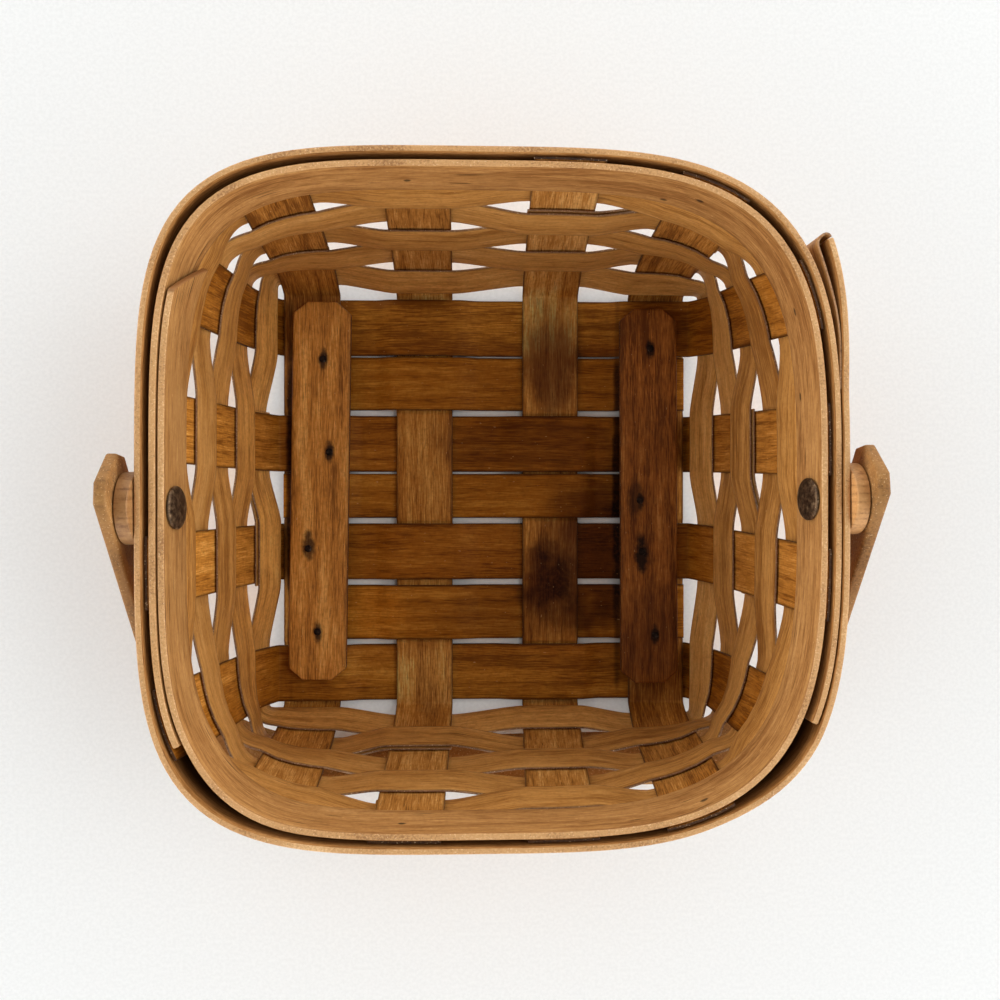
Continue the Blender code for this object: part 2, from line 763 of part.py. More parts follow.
def spacer_shape():
    """Wooden disc between the rim and the handle's arm; its inner face lies on the rim."""
    bore = RIVET_RADIUS + BORE_CLEARANCE
    start = rim_face() + FIT_GAP
    end = spacer_face()
    shape = turned(
        [
            (start, bore), (start, SPACER_RADIUS), (end - SPACER_BEVEL, SPACER_RADIUS),
            (end, SPACER_RADIUS - SPACER_BEVEL), (end, bore),
        ],
        TURN_SEGMENTS,
    )
    lean_with_band(shape, start + SPACER_BEVEL)
    return shape


def rivet_shape(side):
    """Domed head inside the rim, shank, and the peened end outside the washer."""
    under_head = inner_face(side) - FIT_GAP
    washer_face = arm_face() + HANDLE_THICKNESS + 2 * FIT_GAP + WASHER_THICKNESS
    tail = washer_face + FIT_GAP
    tail_height_share, tail_radius_share = RIVET_TAIL_DOME_SHARES
    dome = [
        (under_head - RIVET_HEAD_HEIGHT * math.cos(turn), RIVET_HEAD_RADIUS * math.sin(turn))
        for turn in RIVET_DOME_TURNS
    ]
    shape = turned(
        [(under_head - RIVET_HEAD_HEIGHT, 0)] + dome + [
            (under_head, RIVET_HEAD_RADIUS), (under_head, RIVET_RADIUS), (tail, RIVET_RADIUS),
            (tail, RIVET_TAIL_RADIUS),
            (tail + RIVET_TAIL_HEIGHT * tail_height_share, RIVET_TAIL_RADIUS * tail_radius_share),
            (tail + RIVET_TAIL_HEIGHT, 0),
        ],
        TURN_SEGMENTS,
    )
    lean_with_band(shape, under_head + FIT_GAP)
    return shape


def washer_shape():
    """Steel washer between the handle's arm and the rivet's peened end."""
    start = arm_face() + HANDLE_THICKNESS + FIT_GAP
    end = start + WASHER_THICKNESS
    bore = RIVET_RADIUS + BORE_CLEARANCE
    return turned(
        [(start, bore), (start, WASHER_RADIUS), (end, WASHER_RADIUS * WASHER_EDGE_SHARE), (end, bore)],
        TURN_SEGMENTS,
    )


def handle_reach():
    """Reach of the hoop from its pivots, and the angle that it hangs below level at rest.

    The grip's lowest corner hangs just off the table, at a set distance out from the weave.
    """
    half = HANDLE_WIDTH / 2
    fall = PIVOT_HEIGHT - HANDLE_TABLE_CLEARANCE
    weave_face = wall_half(WEAVER_BASE + WEAVER_RISES[0]) + WEAVER_OFFSET + WEAVER_THICKNESS / 2
    level_reach = weave_face + HANDLE_STANDOFF
    reach = math.sqrt(fall ** 2 + level_reach ** 2 - half ** 2)
    return reach, math.atan2(fall, level_reach) - math.atan2(half, reach)


def handle_shape():
    """One strip bent to a hoop, upright over its hinge line."""
    reach = handle_reach()[0]
    middle = HANDLE_THICKNESS / 2
    side = arm_face() + middle
    bend = HANDLE_BEND - middle
    half = HANDLE_WIDTH / 2
    straight_top = reach - HANDLE_BEND
    path = [
        (side, -HANDLE_TAIL, 0.0, HANDLE_TAIL_CLIP), (side, HANDLE_TAIL_CLIP - HANDLE_TAIL, 0.0, 0.0),
        (side, HANDLE_TAIL, 0.0, 0.0),
    ]
    for step in range(HANDLE_BEND_STEPS + 1):
        turn = math.pi / 2 * step / HANDLE_BEND_STEPS
        path.append((
            side - bend + bend * math.cos(turn), straight_top + bend * math.sin(turn), turn, 0.0,
        ))
    mirrored = [(-x, z, math.pi - turn, clip) for x, z, turn, clip in reversed(path)]
    rings = []
    for x, z, turn, clip in path + mirrored:
        face = Vector((math.cos(turn), 0, math.sin(turn)))
        spot = Vector((x, 0, z))
        across = [spot + Vector((0, edge * (half - clip), 0)) for edge in (-1, 1)]
        rings.append(strip_ring(across, face, HANDLE_THICKNESS))
    return sweep(rings)


def bore_shape(side):
    """Cutter for the rivet's hole through the rim bands or through the handle's arm."""
    start = inner_face(side) - CUT_OVERRUN
    end = arm_face() + HANDLE_THICKNESS + CUT_OVERRUN
    shape = bmesh.new()
    bmesh.ops.create_cone(
        shape, cap_ends=True, segments=TURN_SEGMENTS, depth=end - start,
        radius1=RIVET_RADIUS + BORE_CLEARANCE, radius2=RIVET_RADIUS + BORE_CLEARANCE,
        matrix=Matrix.Translation(Vector(((start + end) / 2, 0, 0))) @ Matrix.Rotation(math.pi / 2, 4, "Y"),
    )
    return shape


def make_pivot_pieces(pivot, wood, bronze, steel):
    """Spacer, rivet and washer on both sides, and the cutters for the rivets' holes."""
    cutters = []
    for side, name in ((-1, "left"), (1, "right")):
        pieces = (
            add_object(f"spacer_{name}", spacer_shape(), wood, smooth=True),
            add_object(f"rivet_{name}", rivet_shape(side), bronze, smooth=True),
            add_object(f"washer_{name}", washer_shape(), steel, smooth=True),
        )
        cutter = add_object(f"{name}_bore", bore_shape(side), wood)
        for piece in pieces + (cutter,):
            place_on_pivot(piece, side, pivot)
        cutters.append(cutter)
    return cutters


def main():
    clear_scene()
    splint_wood = make_material("splint_wood", SPLINT_COLOUR, WOOD_ROUGHNESS)
    weaver_wood = make_material("weaver_wood", WEAVER_COLOUR, WOOD_ROUGHNESS)
    rim_wood = make_material("rim_wood", RIM_COLOUR, WOOD_ROUGHNESS)
    slat_wood = make_material("slat_wood", SLAT_COLOUR, WOOD_ROUGHNESS)
    handle_wood = make_material("handle_wood", HANDLE_COLOUR, WOOD_ROUGHNESS)
    spacer_wood = make_material("spacer_wood", SPACER_COLOUR, WOOD_ROUGHNESS)
    rivet_bronze = make_material("rivet_bronze", RIVET_COLOUR, METAL_ROUGHNESS, 1.0)
    iron = make_material("iron", IRON_COLOUR, METAL_ROUGHNESS, 1.0)

    stakes = make_stakes()
    cross_splints = make_cross_splints(stakes, splint_wood)
    row_splints = make_row_splints(stakes, splint_wood)
    fillers = make_fillers(splint_wood)
    weavers = make_weavers(stakes, weaver_wood)
    rims = make_rims(rim_wood)
    for piece in cross_splints + row_splints + fillers + weavers + rims:
        piece.location.x = BODY_SHIFT

    slats = make_slats(slat_wood)
    brad_cutters = make_brads(slats, iron)
    nailed_crosses = (cross_splints[0], cross_splints[-1])
    for slat, cross, cutter in zip(slats, nailed_crosses, brad_cutters):
        for piece in [slat, cross] + row_splints + fillers:
            cut_from(piece, cutter)

    skew = math.atan2(PIVOT_SKEW, 2 * arm_face())
    pivot = add_empty("hinge_line", (0, PIVOT_OFFSET, PIVOT_HEIGHT), skew)
    bores = make_pivot_pieces(pivot, spacer_wood, rivet_bronze, iron)
    reach, hang = handle_reach()
    handle = add_object("handle", handle_shape(), handle_wood)
    handle.parent = pivot
    handle.rotation_euler.x = math.pi / 2 + hang
    for piece in rims + [handle]:
        for bore in bores:
            cut_from(piece, bore)
    for cutter in brad_cutters + bores:
        hide_cutter(cutter)
    print("floor half", FLOOR_HALF, "base half", BASE_HALF, "rim top", RIM_TOP, "pivot", PIVOT_HEIGHT)
    print("handle reach", reach, "hangs", math.degrees(hang), "skew", math.degrees(skew))


main()
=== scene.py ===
"""The looks of a square berry basket woven from wood splints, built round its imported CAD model."""

# %% [markdown]
# # A woven berry basket, seen from above
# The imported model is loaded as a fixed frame. Every strip of wood is then made again with a fine,
# round-edged mesh of its own that follows the same sizes, and finished with procedural wood.

# %% Load the frame
import math

import bmesh
import bpy
from mathutils import Matrix, Vector, noise


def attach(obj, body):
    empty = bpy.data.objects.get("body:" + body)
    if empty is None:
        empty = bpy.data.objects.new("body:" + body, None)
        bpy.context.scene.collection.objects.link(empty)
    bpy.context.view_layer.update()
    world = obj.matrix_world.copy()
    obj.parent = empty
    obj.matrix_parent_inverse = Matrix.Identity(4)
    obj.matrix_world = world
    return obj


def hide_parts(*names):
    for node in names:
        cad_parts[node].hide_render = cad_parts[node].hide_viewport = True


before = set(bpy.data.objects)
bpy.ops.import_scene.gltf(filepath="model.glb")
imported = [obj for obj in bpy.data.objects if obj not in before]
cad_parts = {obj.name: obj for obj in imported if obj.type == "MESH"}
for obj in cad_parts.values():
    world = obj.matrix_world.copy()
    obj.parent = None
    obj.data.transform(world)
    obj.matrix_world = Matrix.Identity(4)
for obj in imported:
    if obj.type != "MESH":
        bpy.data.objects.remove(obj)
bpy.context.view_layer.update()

# %% [markdown]
# # The basket's sizes
# A real basket like this starts from stock splints three quarters of an inch wide. The floor
# follows from their width and spacing, and the walls flare out from the floor to the rim. The same
# few numbers are written here as in the CAD, so that each strip lies where its solid does.

# %% Sizes
FIT_GAP = 0.0003
SPLINT_WIDTH = 0.01905
SPLINT_THICKNESS = 0.0009
FILLER_WIDTH_SHARES = (0.95, 0.79, 0.97)
ROW_SPACING = 0.0018
ROW_SPACING_SHARES = (0.2, 1.0, 0.33, 1.0, 1.0, 0.9)
CROSS_PLACE_SHARES = (-1.0, -0.351, 0.38, 1.0)
CROSS_DIP = 0.0005
CROSS_RUN_SHARE = 0.39
FLAT_MARGIN = 0.001
LOW_RUN_SHARE = 0.6
BEND_RADIUS = 0.0016
CROSS_LEAN_SHARES = ((-0.02, 0.02), (0.0, -0.12), (-0.10, -0.19), (0.0, -0.21))
CROSS_DROP_SHARES = ((0.42, 0.40), (0.45, 0.10), (0.05, 0.08), (0.06, 0.05))
ROW_LEAN_SHARES = ((-0.25, 0.0), (-0.17, 0.03), (-0.26, -0.07), (-0.05, 0.04))
ROW_DROP_SHARES = ((0.05, 0.42), (0.07, 0.44), (0.06, 0.07), (0.40, 0.08))
WEAVER_WIDTH = 0.0132
WEAVER_THICKNESS = 0.0007
WEAVER_SPACING = 0.00045
WEAVER_SLACK = 0.0001
WEAVER_OVERREACH = 0.0006
WEAVER_PULL_SHARE = 0.5
WEAVER_RISE_SHARES = (0.937, 0.973, 0.982, 0.986, 0.989)
LAYER_GAP = 0.00035
LAP_STAKES = 2
WEAVER_START_STAKES = (13, 10, 5, 2, 9)
FIRST_WEAVER_LIFT = 0.0022
WALL_FLARE = 0.01659
FOOT_SPREAD = 0.00406
FOOT_TUCK = 0.00355
FOOT_RISE = 0.024
WALL_BOW = 1.2
RIM_SQUARENESS = 4.0
FLOOR_SQUARENESS = 16.0
SQUARENESS_POWER = 3
CORNER_SHARES = {(1, 1): 0.90, (-1, 1): 1.11, (1, -1): 0.86, (-1, -1): 1.04}
TWIST_START = 0.002
TWIST_END = 0.030
RIM_HEIGHT = 0.0145
BAND_THICKNESS = 0.0019
BAND_CLEARANCE = 0.0004
BAND_SHIFT_RUN = 0.032
INNER_BAND_START = math.radians(218.1)
INNER_BAND_LAP = math.radians(77.2)
INNER_BAND_CUT = 0.009
OUTER_BAND_START = math.radians(-34.8)
OUTER_BAND_LAP = math.radians(72.6)
OUTER_END_SPRING = 0.0042
END_SPRING_RUN = 0.033
END_SPRING_POWER = 1.3
SLAT_WIDTH = 0.0193
SLAT_END_GAP = 0.00465
SLAT_THICKNESS = 0.003
SLAT_CLIP_ACROSS = 0.0048
SLAT_CLIP_ALONG = 0.0040
SLAT_PLACE_SHARES = ((-0.815, 0.045), (0.815, 0.020))
SLAT_TURNS = (math.radians(-0.8), math.radians(0.2))
PIVOT_DROP = 0.0065
PIVOT_OFFSET = -0.0009
PIVOT_SKEW = 0.0026
HANDLE_WIDTH = 0.020
HANDLE_THICKNESS = 0.0033
HANDLE_TAIL = 0.0135
HANDLE_TAIL_CLIP = 0.0042
HANDLE_BEND = 0.047
HANDLE_STANDOFF = 0.0036
HANDLE_TABLE_CLEARANCE = 0.0005
SPACER_RADIUS = 0.0095
SPACER_THICKNESS = 0.0047
RIVET_RADIUS = 0.0021
RIVET_HEAD_RADIUS = 0.00565
RIVET_HEAD_HEIGHT = 0.0013

LEVEL_STEP = SPLINT_THICKNESS + FIT_GAP
ROW_LOW = SPLINT_THICKNESS / 2
CROSS_OVER = ROW_LOW + LEVEL_STEP
CROSS_UNDER = CROSS_OVER - CROSS_DIP
ROW_HIGH = CROSS_UNDER + LEVEL_STEP
FLOOR_TOP = ROW_HIGH + SPLINT_THICKNESS / 2
SLAT_BOTTOM = FLOOR_TOP + FIT_GAP
SLAT_TOP = SLAT_BOTTOM + SLAT_THICKNESS
ROW_WIDTHS = [
    SPLINT_WIDTH if index % 2 == 0 else SPLINT_WIDTH * FILLER_WIDTH_SHARES[index // 2]
    for index in range(7)
]
ROW_SPACES = [ROW_SPACING * share for share in ROW_SPACING_SHARES]
FLOOR_HALF = (sum(ROW_WIDTHS) + sum(ROW_SPACES)) / 2
BASE_HALF = FLOOR_HALF + FOOT_SPREAD
RIM_HALF = BASE_HALF + WALL_FLARE
SLAT_LENGTH = 2 * (FLOOR_HALF - SLAT_END_GAP)
CROSS_PLACES = [(FLOOR_HALF - SPLINT_WIDTH / 2) * share for share in CROSS_PLACE_SHARES]
WEAVER_BASE = FLOOR_TOP + FIRST_WEAVER_LIFT
WEAVER_RISES = [WEAVER_WIDTH * share for share in WEAVER_RISE_SHARES]
RIM_BOTTOM = WEAVER_BASE + sum(WEAVER_RISES) + len(WEAVER_RISES) * WEAVER_SPACING
RIM_TOP = RIM_BOTTOM + RIM_HEIGHT
WEAVER_OFFSET = (SPLINT_THICKNESS + WEAVER_THICKNESS) / 2 + FIT_GAP + WEAVER_SLACK
LAYER_STEP = WEAVER_THICKNESS + LAYER_GAP
BAND_OFFSET = (SPLINT_THICKNESS + BAND_THICKNESS) / 2 + BAND_CLEARANCE
BAND_STEP = BAND_THICKNESS + LAYER_GAP
BODY_SHIFT = -BAND_STEP / 2
PIVOT_HEIGHT = RIM_TOP - PIVOT_DROP

WALLS = {
    "back": (Vector((0, 1, 0)), Vector((1, 0, 0))),
    "right": (Vector((1, 0, 0)), Vector((0, -1, 0))),
    "front": (Vector((0, -1, 0)), Vector((-1, 0, 0))),
    "left": (Vector((-1, 0, 0)), Vector((0, 1, 0))),
}
UP = Vector((0, 0, 1))
print("floor half", FLOOR_HALF, "rim half", RIM_HALF, "rim top", RIM_TOP)

# %% [markdown]
# # The wall as a surface
# The splints bend up from a nearly square floor and meet the rim on a softer, rounder square. One
# function gives the point of that surface for a wall, a distance along it and a height, and every
# stake, weaver and band is laid on it or a set distance off it.


# %% The wall as a surface
def ease(share):
    share = min(max(share, 0.0), 1.0)
    return share * share * (3 - 2 * share)


def wall_half(height):
    depth_share = max(RIM_TOP - height, 0.0) / RIM_TOP
    foot_share = max(FOOT_RISE - height, 0.0) / FOOT_RISE
    tuck = FOOT_TUCK * foot_share * foot_share
    return RIM_HALF - (RIM_HALF - BASE_HALF) * depth_share ** WALL_BOW - tuck


def wall_slope(height):
    step = FIT_GAP
    return (wall_half(height + step) - wall_half(height - step)) / (2 * step)


def squareness(height, x_value, y_value):
    depth_share = max(RIM_TOP - height, 0.0) / RIM_TOP
    plain = RIM_SQUARENESS + (FLOOR_SQUARENESS - RIM_SQUARENESS) * depth_share ** SQUARENESS_POWER
    return plain * CORNER_SHARES[(1 if x_value >= 0 else -1, 1 if y_value >= 0 else -1)]


def wall_spot(wall, along, height):
    outward, travel = WALLS[wall]
    half = wall_half(height)
    guide = outward * half + travel * along
    power = squareness(height, guide.x, guide.y)
    reach = half * max(1 - (abs(along) / half) ** power, 0.0) ** (1 / power)
    twist = ease((height - TWIST_START) / (TWIST_END - TWIST_START))
    reach = half - twist * (half - reach)
    return outward * reach + travel * along + UP * height


def rows_of_floor():
    rows = []
    edge = FLOOR_HALF
    for index, width in enumerate(ROW_WIDTHS):
        rows.append((edge - width / 2, width))
        edge -= width + (ROW_SPACES[index] if index < len(ROW_SPACES) else 0)
    return rows


def cross_is_over(cross, row):
    return (cross + row // 2) % 2 == 0


class Stake:
    """One splint where it stands up a wall."""

    def __init__(self, wall, place, lean, drop, level):
        travel = WALLS[wall][1]
        sign = travel.x + travel.y
        self.wall = wall
        self.place = place * sign
        self.lean = lean * SPLINT_WIDTH * sign
        self.end = RIM_TOP - drop * RIM_HEIGHT
        self.level = level

    def centre(self, height):
        return self.place + self.lean * (height - self.level) / (RIM_TOP - self.level)

    def half_across(self, height):
        middle = self.centre(height)
        half = SPLINT_WIDTH / 2
        chord = wall_spot(self.wall, middle + half, height) - wall_spot(self.wall, middle - half, height)
        return half * SPLINT_WIDTH / chord.length

    def across(self, height, shares, overreach=0.0):
        middle = self.centre(height)
        half = self.half_across(height) + overreach
        return [wall_spot(self.wall, middle + share * half, height) for share in shares]

    def outward(self, height):
        left, right = self.across(height, (-1, 1))
        return (right - left).normalized().cross(UP) * -1


# %% [markdown]
# # A strip of wood
# Splint is a thin flat ribbon that is bent, never carved, so each strip starts as a flat grid
# whose points are laid on the path it follows. A solidify modifier gives it its thickness and a
# bevel softens its edges, as sanding and handling do. The grid's two directions become a map in
# metres, so that the grain runs along the strip round every bend.

# %% Strip maker
EDGE_ROUND = 0.00022
EDGE_SEGMENTS = 2
THICK_EDGE_SEGMENTS = 3
EDGE_SLOT = 1
GAP_SLOT = 2
WORN_ANGLE = math.radians(50)
GRAIN_STEP_ALONG = 0.731
GRAIN_STEP_ACROSS = 0.0417
WANDER_STEP_STRIP = 7.3
WANDER_STEP_EDGE = 3.1
WANDER_SEEDS = {"cross": 0, "row": 5, "filler": 11, "weaver": 20}
GRAIN_SEEDS = {
    "cross": 1, "row": 6, "filler": 12, "weaver": 30, "inner band": 41, "outer band": 47,
    "tongue": 53, "left slat": 60, "right slat": 63, "handle": 71,
}
finished = []


def spread(count):
    return [2 * index / (count - 1) - 1 for index in range(count)]


def finish_piece(item, body, replaced, materials):
    """Give a piece its materials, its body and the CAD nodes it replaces."""
    for material in materials:
        item.data.materials.append(material)
    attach(item, body)
    if replaced:
        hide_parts(*replaced)
    finished.append(item)


def link_mesh(name, shape):
    mesh = bpy.data.meshes.new(name)
    shape.to_mesh(mesh)
    shape.free()
    mesh.shade_smooth()
    item = bpy.data.objects.new(name, mesh)
    bpy.context.scene.collection.objects.link(item)
    return item


def distances(rows):
    """How far along the middle of a strip each of its rows lies."""
    middle = len(rows[0]) // 2
    found = [0.0]
    for before, after in zip(rows, rows[1:]):
        found.append(found[-1] + (after[middle] - before[middle]).length)
    return found


def strip(name, rows, thickness, seed, edge_round=EDGE_ROUND, segments=EDGE_SEGMENTS):
    """A ribbon through rows of points.

    Its grain map is in metres, shifted by the seed so that no two strips match. Its place map
    gives the distance from the strip's start and the share of its width.
    """
    along = len(rows)
    across = len(rows[0])
    shape = bmesh.new()
    bmesh.ops.create_grid(shape, x_segments=along - 1, y_segments=across - 1, size=0.5, calc_uvs=True)
    uv_layer = shape.loops.layers.uv.verify()
    place_layer = shape.loops.layers.uv.new("place")
    lengths = distances(rows)
    widths = [sum((b - a).length for a, b in zip(row, row[1:])) for row in rows]
    width = widths[along // 2]
    for face in shape.faces:
        for loop in face.loops:
            place = loop.vert.co
            row = round((place.x + 0.5) * (along - 1))
            share = place.y + 0.5
            across_place = (share - 0.5) * widths[row] + width / 2
            loop[uv_layer].uv = (
                lengths[row] + seed * GRAIN_STEP_ALONG, across_place + seed * GRAIN_STEP_ACROSS,
            )
            loop[place_layer].uv = (lengths[row], share)
    for vert in shape.verts:
        row = round((vert.co.x + 0.5) * (along - 1))
        column = round((vert.co.y + 0.5) * (across - 1))
        vert.co = rows[row][column]
    item = link_mesh(name, shape)
    item.data.uv_layers[0].name = "grain"
    solid = item.modifiers.new("thickness", "SOLIDIFY")
    solid.thickness = thickness
    solid.offset = 0
    solid.use_even_offset = True
    solid.use_quality_normals = True
    solid.material_offset_rim = EDGE_SLOT
    bevel = item.modifiers.new("worn edges", "BEVEL")
    bevel.width = edge_round
    bevel.segments = segments
    bevel.limit_method = "ANGLE"
    bevel.angle_limit = WORN_ANGLE
    return item


def wander(rows, seed, amount, pitch):
    """Let the two edges of a strip wander a little, as a hand-pulled splint's do."""
    across = len(rows[0])
    travelled = 0.0
    for index, row in enumerate(rows):
        if index:
            travelled += (row[across // 2] - rows[index - 1][across // 2]).length
        centre = (row[0] + row[-1]) / 2
        for column, share in enumerate(spread(across)):
            lane = seed * WANDER_STEP_STRIP + (share > 0) * WANDER_STEP_EDGE
            shift = noise.noise(Vector((travelled / pitch, lane, 0)))
            factor = 1 - amount * (0.5 + 0.5 * shift) * abs(share)
            row[column] = centre + (row[column] - centre) * factor
    return rows


print("strip maker ready")

# %% [markdown]
# # The splints
# Eight full splints make the skeleton: four run front to back and four left to right, up one wall,
# across the floor and up the other wall to the rim. Three shorter fillers lie between the rows and
# end at the floor's edges. Where they cross on the floor they pass over and under each other two
# rows at a time. The path is sampled finely, so that the bend at the wall's foot stays round and
# the over-and-under is a soft wave.

# %% Splints
ACROSS = 5
BEND_STEPS = 10
WALL_STEPS = 26
RISE_STEPS = 8
CROSS_RISE_STEPS = 4
SPLINT_WANDER = 0.012
FILLER_WANDER = 0.010
SPLINT_WANDER_PITCH = 0.02


def shifted(rows):
    return [[point + Vector((BODY_SHIFT, 0, 0)) for point in row] for row in rows]


def wall_rows(stake):
    outward, travel = WALLS[stake.wall]
    lean = math.atan(wall_slope(stake.level + BEND_RADIUS))
    end_height = stake.level + BEND_RADIUS * (1 - math.sin(lean))
    start = wall_half(end_height) - BEND_RADIUS * math.cos(lean)
    rows = []
    for step in range(BEND_STEPS + 1):
        turn = (math.pi / 2 - lean) * step / BEND_STEPS
        height = stake.level + BEND_RADIUS * (1 - math.cos(turn))
        reach = start + BEND_RADIUS * math.sin(turn)
        middle = stake.centre(height)
        rows.append([
            outward * reach + travel * (middle + share * SPLINT_WIDTH / 2) + UP * height
            for share in spread(ACROSS)
        ])
    foot = rows[-1][0].z
    for step in range(1, WALL_STEPS + 1):
        height = foot + (stake.end - foot) * step / WALL_STEPS
        rows.append(stake.across(height, spread(ACROSS)))
    return rows


def floor_row(axis, across_axis, along, place, level, width):
    return [
        axis * along + across_axis * (place + share * width / 2) + UP * level for share in spread(ACROSS)
    ]


def ramp(start, end, level, next_level, steps):
    stations = []
    for step in range(steps + 1):
        share = step / steps
        stations.append((start + (end - start) * share, level + (next_level - level) * ease(share)))
    return stations


def cross_level(cross, row):
    return CROSS_OVER if cross_is_over(cross, row) else CROSS_UNDER


def row_level(cross, row):
    return ROW_LOW if cross_is_over(cross, row) else ROW_HIGH


def cross_levels(cross):
    rows = rows_of_floor()
    stations = []
    for index in range(len(rows) - 1):
        here = cross_level(cross, index)
        after = cross_level(cross, index + 1)
        if here != after:
            middle = rows[index][0] - rows[index][1] / 2 - ROW_SPACES[index] / 2
            run = ROW_SPACES[index] * CROSS_RUN_SHARE
            stations.extend(ramp(middle + run, middle - run, here, after, CROSS_RISE_STEPS))
    return stations


def row_levels(row):
    stations = []
    crosses = list(reversed(range(len(CROSS_PLACES))))
    half = SPLINT_WIDTH / 2 + FLAT_MARGIN
    for position, cross in enumerate(crosses):
        level = row_level(cross, row)
        if position > 0:
            start_x, start_level = stations[-1]
            end_x = CROSS_PLACES[cross] + half
            if start_level < level:
                rise_start = start_x + (end_x - start_x) * LOW_RUN_SHARE
                stations.extend(ramp(rise_start, end_x, start_level, level, RISE_STEPS))
            else:
                if level < start_level:
                    rise_end = end_x - (end_x - start_x) * LOW_RUN_SHARE
                    stations.extend(ramp(start_x, rise_end, start_level, level, RISE_STEPS)[1:])
                stations.append((end_x, level))
        if position < len(crosses) - 1:
            stations.append((CROSS_PLACES[cross] - half, level))
    return stations


def make_stakes():
    rows = rows_of_floor()
    stakes = {wall: [] for wall in WALLS}
    for cross, place in enumerate(CROSS_PLACES):
        shares = zip(CROSS_LEAN_SHARES[cross], CROSS_DROP_SHARES[cross])
        for (wall, row), (lean, drop) in zip((("back", 0), ("front", len(rows) - 1)), shares):
            stakes[wall].append(Stake(wall, place, lean, drop, cross_level(cross, row)))
    for number, row in enumerate(range(0, len(rows), 2)):
        shares = zip(ROW_LEAN_SHARES[number], ROW_DROP_SHARES[number])
        for (wall, cross), (lean, drop) in zip((("right", len(CROSS_PLACES) - 1), ("left", 0)), shares):
            stakes[wall].append(Stake(wall, rows[row][0], lean, drop, row_level(cross, row)))
    return stakes


def splint_rows(near, far, wall, stations, place):
    axis, across_axis = WALLS[wall]
    rows = list(reversed(wall_rows(near)))
    rows += [
        floor_row(axis, across_axis, along, place, level, SPLINT_WIDTH) for along, level in stations
    ]
    rows += [list(reversed(row)) for row in wall_rows(far)]
    return rows


stakes = make_stakes()
splints = []
for cross, place in enumerate(CROSS_PLACES):
    rows = splint_rows(stakes["back"][cross], stakes["front"][cross], "back", cross_levels(cross), place)
    rows = wander(shifted(rows), WANDER_SEEDS["cross"] + cross, SPLINT_WANDER, SPLINT_WANDER_PITCH)
    seed = GRAIN_SEEDS["cross"] + cross
    splints.append(strip(f"cross_splint_{cross + 1}", rows, SPLINT_THICKNESS, seed))
for number, (place, _) in enumerate(rows_of_floor()[::2]):
    levels = row_levels(2 * number)
    rows = splint_rows(stakes["right"][number], stakes["left"][number], "right", levels, -place)
    rows = wander(shifted(rows), WANDER_SEEDS["row"] + number, SPLINT_WANDER, SPLINT_WANDER_PITCH)
    seed = GRAIN_SEEDS["row"] + number
    splints.append(strip(f"row_splint_{2 * number + 1}", rows, SPLINT_THICKNESS, seed))
fillers = []
for row in (1, 3, 5):
    place, width = rows_of_floor()[row]
    levels = row_levels(row)
    levels = [(FLOOR_HALF, levels[0][1])] + levels + [(-FLOOR_HALF, levels[-1][1])]
    axis, across_axis = WALLS["right"]
    rows = [floor_row(axis, across_axis, along, -place, level, width) for along, level in levels]
    rows = wander(shifted(rows), WANDER_SEEDS["filler"] + row, FILLER_WANDER, SPLINT_WANDER_PITCH)
    seed = GRAIN_SEEDS["filler"] + row
    fillers.append(strip(f"floor_filler_{row + 1}", rows, SPLINT_THICKNESS, seed))
print("splints", len(splints), "fillers", len(fillers))

# %% [markdown]
# # The weavers
# Five narrower bands go round the walls, in and out of the sixteen stakes by turns. Each is one
# length whose two ends lie on each other over two stakes. Between stakes the band swings from one
# side to the other on a smooth curve that leaves and meets the stakes along their faces.

# %% Weavers
WEAVER_ACROSS = 4
WEAVER_JOINTS = 8
WEAVER_CORNER_JOINTS = 12
SPOTS_ON_STAKE = 5
WEAVER_WANDER = 0.03
WEAVER_WANDER_PITCH = 0.03


def hermite(start, start_way, end, end_way, share, pull_share):
    pull = (end - start).length * pull_share
    square = share * share
    cube = square * share
    return (
        start * (2 * cube - 3 * square + 1)
        + start_way * (pull * (cube - 2 * square + share))
        + end * (3 * square - 2 * cube)
        + end_way * (pull * (cube - square))
    )


def weaver_line(ring_stakes, weaver, start, height):
    count = len(ring_stakes)
    lap_offset = WEAVER_OFFSET + LAYER_STEP / 2
    points = []
    last_way = None
    for step in range(count + LAP_STAKES):
        index = (start + step) % count
        stake = ring_stakes[index]
        inside = 1 if (index + weaver) % 2 == 0 else -1
        if step < LAP_STAKES:
            inward = inside * lap_offset - LAYER_STEP / 2
        elif step >= count:
            inward = inside * lap_offset + LAYER_STEP / 2
        else:
            inward = inside * WEAVER_OFFSET
        outward = stake.outward(height) * math.hypot(1, wall_slope(height))
        across = stake.across(height, spread(SPOTS_ON_STAKE), WEAVER_OVERREACH)
        spots = [spot - outward * inward for spot in across]
        way = (spots[-1] - spots[0]).normalized()
        if points:
            corner = stake.wall != ring_stakes[(index - 1) % count].wall
            joints = WEAVER_CORNER_JOINTS if corner else WEAVER_JOINTS
            pull_share = 1.0 if corner else WEAVER_PULL_SHARE
            begin = points[-1]
            for joint in range(1, joints):
                points.append(hermite(begin, last_way, spots[0], way, joint / joints, pull_share))
        points.extend(spots)
        last_way = way
    return points


